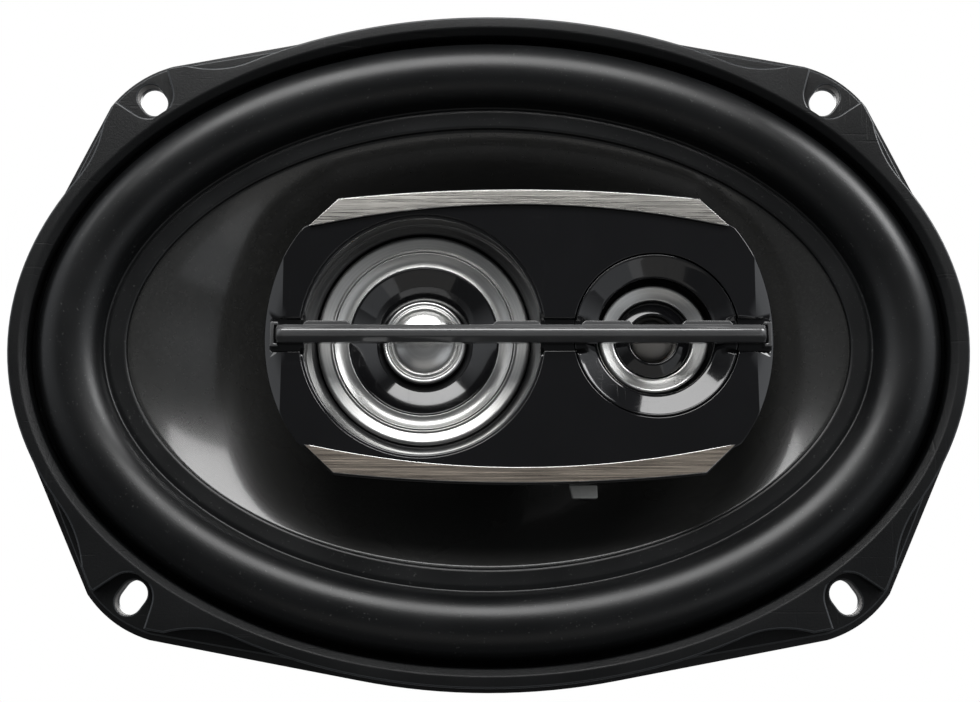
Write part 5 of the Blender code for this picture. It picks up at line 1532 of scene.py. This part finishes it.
def build_mid_range():
    front = POD_FRONT_Z - 0.4
    bm = bmesh.new()
    wall = [(26.2, 5.2), (26.2, 6.6), (27.0, 8.6), (28.2, 12.6), (28.6, front - 0.2), (29.0, front), (29.45, front - 0.1),
            (29.45, 5.2)]
    revolve(bm, soften(wall, 0.3, 3), MID_X, steps=RIM_STEPS)
    notch(bm)
    piece("mid_bezel_wall", bm, "piano", "frame", ("mid_bezel",))
    bm = bmesh.new()
    ring = [(25.9, 2.8), (25.9, 6.1), (25.6, 6.5), (25.0, 6.65), (24.4, 6.45), (22.75, 5.9), (22.5, 6.1), (22.2, 6.15),
            (22.0, 5.8), (21.9, 4.6), (21.9, 3.0), (18.9, 3.0), (18.6, -2.3), (11.9, -2.3), (11.9, -3.5), (19.4, -3.5),
            (19.9, -1.0), (19.9, 2.8)]
    revolve(bm, soften(ring, 0.2, 3), MID_X, steps=RIM_STEPS)
    piece("mid_silver_frame", bm, "mid_silver", "frame", ("mid_frame",))
    build_mid_roll()
    bm = bmesh.new()
    cone = [(18.55, 4.75)]
    for i in range(1, 13):
        t = i / 12
        cone.append((18.55 - 8.9 * t, 4.75 - 4.5 * t))
    cone += [(9.65, -0.2), (18.2, 4.05)]
    revolve(bm, cone, MID_X)
    piece("mid_gloss_cone", bm, "piano", "mid_range", ("mid_cone",))
    bm = bmesh.new()
    cap = [(0.0, 1.0), (10.0, 1.0), (10.3, 1.4), (10.3, 2.3), (10.05, 2.8), (9.75, 3.0), (9.45, 2.85), (9.3, 2.55),
           (9.15, 2.75), (8.95, 2.85), (8.75, 2.65), (8.6, 2.1), (8.35, 1.9)]
    for i in range(1, 20):
        turn = pi / 2 * i / 20
        cap.append((8.2 * cos(turn), 1.8 + 3.4 * sin(turn)))
    cap.append((0.0, 5.25))
    revolve(bm, cap, MID_X)
    piece("mid_cap", bm, "film", "mid_range", ("mid_dust_cap",))
    bm = bmesh.new()
    revolve(bm, soften([(8.6, -6.0), (9.2, -6.0), (9.2, 0.7), (8.6, 0.7)], 0.15, 2), MID_X, steps=SMALL_STEPS)
    piece("mid_coil", bm, "copper", "mid_range", ("mid_voice_coil",))


def build_mid_roll():
    """Silvered roll that dips between the mid-range's frame and its cone."""
    front, rear = [], []
    outer, inner = 21.8, 18.4
    steps = 18
    for i in range(steps + 1):
        t = i / steps
        r = outer + (inner - outer) * t
        z = 5.9 - 1.1 * t - 0.55 * max(0.0, sin(pi * t)) ** 0.9
        front.append((r, z))
        rear.append((r, z - 0.35))
    profile = front + rear[::-1]
    bm = bending_mesh()
    rows = revolve(bm, profile, MID_X, steps=RIM_STEPS)
    travelling(bm, rows, [ease((outer - r) / (outer - inner)) for r, _ in profile])
    obj = piece("mid_roll", bm, "mid_silver", None, ("mid_surround",), weigh=False)
    bend(obj, "mid_range")


def build_tweeter():
    front = POD_FRONT_Z - 0.3
    bm = bmesh.new()
    flare = [(19.65, front - 0.3), (19.3, front), (19.05, front - 0.25)]
    for i in range(8):
        flare.append((18.9 - 4.6 * i / 7, front - 0.35 - 1.95 * i / 7))
    flare += [(14.15, front - 2.5), (14.15, 6.4), (16.6, 4.6), (19.65, 8.2)]
    revolve(bm, flare, TWEETER_X, steps=RIM_STEPS)
    notch(bm)
    piece("tweeter_gloss_flare", bm, "piano", "frame", ("tweeter_flare",))
    build_tweeter_ring()
    seat = RING_Z - 2.9
    bm = bmesh.new()
    body = [(14.6, seat - 1.5), (14.6, seat), (8.2, seat), (8.1, seat - 3.5), (13.3, seat - 3.5)]
    revolve(bm, soften(body, 0.3), TWEETER_X)
    piece("tweeter_shell", bm, "matt", "frame", ("tweeter_body",))
    bm = bmesh.new()
    guide = soften([(9.35, 5.7), (9.2, 6.0), (6.4, 7.25), (5.9, 7.15), (5.8, 6.6), (5.8, 4.6), (9.35, 4.6)], 0.2)
    revolve(bm, guide, TWEETER_X)
    piece("tweeter_gloss_guide", bm, "piano", "frame", ("tweeter_guide_cone",))
    bm = bmesh.new()
    dome = [(0.0, 3.3), (5.0, 3.3), (5.0, 3.6)]
    for i in range(1, 20):
        turn = pi / 2 * i / 20
        dome.append((4.95 * cos(turn), 3.6 + 2.4 * sin(turn)))
    dome.append((0.0, 6.0))
    revolve(bm, dome, TWEETER_X, steps=64)
    piece("cloth_dome", bm, "dome", "tweeter", ("tweeter_dome",))
    bm = bending_mesh()
    web = [(5.1, 3.0), (7.8, 3.0), (7.8, 3.4), (7.2, 3.75), (6.5, 3.95), (5.8, 3.75), (5.1, 3.4)]
    rows = revolve(bm, web, TWEETER_X, steps=64)
    travelling(bm, rows, [ease((7.8 - r) / 2.7) for r, _ in web])
    obj = piece("dome_edge", bm, "dome", None, ("tweeter_suspension",), weigh=False)
    bend(obj, "tweeter")


def build_tweeter_ring():
    """Silver ring with a round back, and small notches round its outer foot."""
    bm = bmesh.new()
    rows = []
    steps = RIM_STEPS
    profile = soften([(9.6, 5.4), (13.7, 5.4), (13.7, 6.1), (13.3, 6.4), (13.35, RING_Z - 0.2), (12.8, RING_Z + 0.1),
                      (11.2, RING_Z - 0.75), (9.9, RING_Z - 1.15), (9.6, RING_Z - 1.4)], 0.5, 4)
    for r, z in profile:
        row = []
        for turn in turns(steps):
            cut = 0.5 if r > 13.5 and (turn * 6 / pi) % 1.0 < 0.3 else 0.0
            row.append(bm.verts.new((TWEETER_X + (r - cut) * cos(turn), (r - cut) * sin(turn), z)))
        rows.append(row)
    skin(bm, rows, ring=True)
    piece("tweeter_silver_ring", bm, "tweeter_silver", "frame", ("tweeter_ring",))


# Studio


def area_light(name, place_at, target, size, power, tone=(1.0, 1.0, 1.0)):
    data = bpy.data.lights.new(name, "AREA")
    data.shape = "RECTANGLE"
    data.size, data.size_y = size
    data.energy = power
    data.color = tone
    lamp = bpy.data.objects.new(name, data)
    bpy.context.scene.collection.objects.link(lamp)
    lamp.location = place_at
    lamp.rotation_euler = (Vector(target) - Vector(place_at)).to_track_quat("-Z", "Y").to_euler()
    return lamp


def studio_air():
    """Pale room: dark in front of the speaker, lighter at its sides, plain white where the lens looks past it."""
    world = bpy.data.worlds.new("studio")
    world.use_nodes = True
    bpy.context.scene.world = world
    tree = world.node_tree
    back = tree.nodes["Background"]
    where = shade(tree, "ShaderNodeTexCoord").outputs["Generated"]
    parts = shade(tree, "ShaderNodeSeparateXYZ", {"Vector": where})
    right = spread(tree, parts.outputs["X"], 0.0, 0.95, 0.45, 0.80)
    left = spread(tree, parts.outputs["X"], 0.70, 0.0, -0.80, -0.45)
    level = spread(tree, parts.outputs["Z"], 0.0, 1.0, -0.35, 0.10)
    sides = add_up(tree, add_up(tree, left, right, "ADD"), level, "MULTIPLY")
    rear = spread(tree, parts.outputs["Y"], 0.08, 0.30, 0.5, 0.9)
    fall = add_up(tree, sides, rear, "MAXIMUM")
    back.inputs["Color"].default_value = (0.93, 0.96, 1.0, 1.0)
    tree.links.new(fall, back.inputs["Strength"])
    plain = shade(tree, "ShaderNodeBackground", {"Color": (1.0, 1.0, 1.0, 1.0), "Strength": 1.0})
    seen = shade(tree, "ShaderNodeLightPath").outputs["Is Camera Ray"]
    mix = shade(tree, "ShaderNodeMixShader", {0: seen, 1: back.outputs[0], 2: plain.outputs[0]})
    tree.links.new(mix.outputs[0], tree.nodes["World Output"].inputs["Surface"])


def build_floor(studio):
    bm = bmesh.new()
    bmesh.ops.create_grid(bm, x_segments=8, y_segments=8, size=1.0)
    bmesh.ops.scale(bm, vec=Vector((2.5, 2.5, 1.0)), verts=bm.verts)
    bmesh.ops.translate(bm, vec=Vector((0.0, 0.0, -studio.floor_drop)), verts=bm.verts)
    mesh = bpy.data.meshes.new("pale_floor")
    bm.to_mesh(mesh)
    bm.free()
    material, tree, shader = new_finish("floor_pale", (0.82, 0.82, 0.81), 0.6, Emission_Color=(1, 1, 1, 1), Emission_Strength=0.55)
    relief(tree, shader, noise(tree, place(tree), 400.0), 0.00005)
    mesh.materials.append(material)
    floor = bpy.data.objects.new("pale_floor", mesh)
    bpy.context.scene.collection.objects.link(floor)
    floor.visible_glossy = False
    floor.visible_diffuse = False


def build_studio(studio):
    if studio.show_floor:
        build_floor(studio)
    studio_air()
    area_light("overhead", (-0.05, -0.30, 0.35), (0.0, 0.0, 0.0), (0.44, 0.22), studio.overhead)
    area_light("upper_right", (0.46, -0.24, 0.36), (0.0, 0.0, 0.0), (0.22, 0.26), 1.5)
    area_light("upper_left", (-0.46, -0.24, 0.36), (0.0, 0.0, 0.0), (0.14, 0.20), 0.18)
    area_light("low_front", (0.0, -0.42, -0.34), (0.0, 0.0, 0.0), (0.5, 0.22), 0.08, (1.0, 0.97, 0.93))
    area_light("low_right", (0.34, -0.42, -0.24), (0.0, 0.0, 0.0), (0.34, 0.26), 0.12, (0.93, 0.96, 1.0))
    area_light("rear_fill", (0.0, 0.85, 0.35), (0.0, 0.05, 0.0), (0.9, 0.5), 7.0)
    data = bpy.data.cameras.new("lens")
    data.lens = studio.lens
    data.sensor_width = 36.0
    data.shift_x = 0.0015
    data.shift_y = -0.0102
    data.clip_start = 0.01
    data.dof.use_dof = False
    camera = bpy.data.objects.new("lens", data)
    bpy.context.scene.collection.objects.link(camera)
    camera.location = (0.0, -studio.distance, -studio.below)
    camera.rotation_euler = (pi / 2 + studio.tilt, 0.0, 0.0)
    bpy.context.scene.camera = camera
    bpy.context.scene.view_settings.view_transform = "Standard"


# Operators and panel


class SPEAKER_OT_finishes(bpy.types.Operator):
    """Makes every finish of the speaker"""

    bl_idname = "speaker.finishes"
    bl_label = "Finishes"

    def execute(self, context):
        FINISH.update(make_finishes(context.scene.speaker_colours))
        return {"FINISHED"}


class SPEAKER_OT_basket(bpy.types.Operator):
    """Presses the basket with its windows, spokes and flange"""

    bl_idname = "speaker.basket"
    bl_label = "Basket"

    def execute(self, context):
        build_basket(context.scene.speaker_shape)
        return {"FINISHED"}


class SPEAKER_OT_gasket(bpy.types.Operator):
    """Moulds the gasket with its ear pads and screw recesses"""

    bl_idname = "speaker.gasket"
    bl_label = "Gasket"

    def execute(self, context):
        build_gasket(context.scene.speaker_shape)
        return {"FINISHED"}


class SPEAKER_OT_surround(bpy.types.Operator):
    """Moulds the rubber surround"""

    bl_idname = "speaker.surround"
    bl_label = "Surround"

    def execute(self, context):
        build_surround(context.scene.speaker_shape)
        return {"FINISHED"}


class SPEAKER_OT_cone(bpy.types.Operator):
    """Forms the cone and the glue round its neck"""

    bl_idname = "speaker.cone"
    bl_label = "Cone"

    def execute(self, context):
        build_cone(context.scene.speaker_shape)
        return {"FINISHED"}


class SPEAKER_OT_spider(bpy.types.Operator):
    """Forms the corrugated spider"""

    bl_idname = "speaker.spider"
    bl_label = "Spider"

    def execute(self, context):
        build_spider(context.scene.speaker_shape)
        return {"FINISHED"}


class SPEAKER_OT_voice_coil(bpy.types.Operator):
    """Winds the voice coil on its former"""

    bl_idname = "speaker.voice_coil"
    bl_label = "Voice coil"

    def execute(self, context):
        build_voice_coil()
        return {"FINISHED"}


class SPEAKER_OT_motor(bpy.types.Operator):
    """Turns the plates, magnet, boot and rivets"""

    bl_idname = "speaker.motor"
    bl_label = "Motor"

    def execute(self, context):
        build_motor()
        return {"FINISHED"}


class SPEAKER_OT_post(bpy.types.Operator):
    """Turns the post that carries the pod, with its washer and nut"""

    bl_idname = "speaker.post"
    bl_label = "Centre post"

    def execute(self, context):
        build_post()
        return {"FINISHED"}


class SPEAKER_OT_terminals(bpy.types.Operator):
    """Makes the terminal board, its rivet, eyelets and blades"""

    bl_idname = "speaker.terminals"
    bl_label = "Terminals"

    def execute(self, context):
        build_terminals()
        return {"FINISHED"}


class SPEAKER_OT_leads(bpy.types.Operator):
    """Lays the two braided leads"""

    bl_idname = "speaker.leads"
    bl_label = "Braided leads"

    def execute(self, context):
        build_leads()
        return {"FINISHED"}


class SPEAKER_OT_pod(bpy.types.Operator):
    """Moulds the pod's rear shell and its gloss fascia"""

    bl_idname = "speaker.pod"
    bl_label = "Pod"

    def execute(self, context):
        build_housing()
        build_fascia()
        return {"FINISHED"}


class SPEAKER_OT_strips(bpy.types.Operator):
    """Stamps the two brushed strips"""

    bl_idname = "speaker.strips"
    bl_label = "Brushed strips"

    def execute(self, context):
        build_strips(context.scene.speaker_shape)
        return {"FINISHED"}


class SPEAKER_OT_bar(bpy.types.Operator):
    """Moulds the bar across the pod, its clips and the lower catch"""

    bl_idname = "speaker.bar"
    bl_label = "Bar and clips"

    def execute(self, context):
        build_bar()
        return {"FINISHED"}


class SPEAKER_OT_mid_range(bpy.types.Operator):
    """Builds the mid-range's bezel, frame, roll, cone and cap"""

    bl_idname = "speaker.mid_range"
    bl_label = "Mid-range"

    def execute(self, context):
        build_mid_range()
        return {"FINISHED"}


class SPEAKER_OT_tweeter(bpy.types.Operator):
    """Builds the tweeter's flare, ring, guide, shell and dome"""

    bl_idname = "speaker.tweeter"
    bl_label = "Tweeter"

    def execute(self, context):
        build_tweeter()
        return {"FINISHED"}


class SPEAKER_OT_inner_works(bpy.types.Operator):
    """Gives the pieces inside the pod their finishes"""

    bl_idname = "speaker.inner_works"
    bl_label = "Inner works"

    def execute(self, context):
        wear = {"copper": ("tweeter_voice_coil",), "film_wrap": ("crossover_capacitor_mid",
                "crossover_capacitor_tweeter"), "steel": ("mid_yoke", "mid_magnet", "mid_pole_plate", "tweeter_yoke",
                "tweeter_magnet")}
        for finish, nodes in wear.items():
            for node in nodes:
                mesh = frame["nodes"][node].data
                mesh.materials.clear()
                mesh.materials.append(FINISH[finish])
        return {"FINISHED"}


class SPEAKER_OT_studio(bpy.types.Operator):
    """Sets up the pale studio, its soft lights and the camera"""

    bl_idname = "speaker.studio"
    bl_label = "Studio"

    def execute(self, context):
        build_studio(context.scene.speaker_studio)
        return {"FINISHED"}


STEPS = (
    SPEAKER_OT_finishes, SPEAKER_OT_basket, SPEAKER_OT_gasket, SPEAKER_OT_surround, SPEAKER_OT_cone,
    SPEAKER_OT_spider, SPEAKER_OT_voice_coil, SPEAKER_OT_motor, SPEAKER_OT_post, SPEAKER_OT_terminals,
    SPEAKER_OT_leads, SPEAKER_OT_pod, SPEAKER_OT_strips, SPEAKER_OT_bar, SPEAKER_OT_mid_range,
    SPEAKER_OT_tweeter, SPEAKER_OT_inner_works, SPEAKER_OT_studio,
)


class SPEAKER_PT_pieces(bpy.types.Panel):
    bl_label = "Oval coaxial speaker"
    bl_idname = "SPEAKER_PT_pieces"
    bl_space_type = "VIEW_3D"
    bl_region_type = "UI"
    bl_category = "Speaker"

    def draw(self, context):
        layout = self.layout
        for group in (context.scene.speaker_shape, context.scene.speaker_colours, context.scene.speaker_studio):
            box = layout.box()
            for key in group.__annotations__:
                box.prop(group, key)
        for step in STEPS:
            layout.operator(step.bl_idname)


CLASSES = (SpeakerShape, SpeakerColours, StudioSettings, *STEPS, SPEAKER_PT_pieces)


def register():
    for cls in CLASSES:
        bpy.utils.register_class(cls)
    bpy.types.Scene.speaker_shape = PointerProperty(type=SpeakerShape)
    bpy.types.Scene.speaker_colours = PointerProperty(type=SpeakerColours)
    bpy.types.Scene.speaker_studio = PointerProperty(type=StudioSettings)


def unregister():
    del bpy.types.Scene.speaker_studio
    del bpy.types.Scene.speaker_colours
    del bpy.types.Scene.speaker_shape
    for cls in reversed(CLASSES):
        bpy.utils.unregister_class(cls)


def main():
    register()
    for step in STEPS:
        group, action = step.bl_idname.split(".")
        getattr(getattr(bpy.ops, group), action)()


if __name__ == "__main__":
    main()
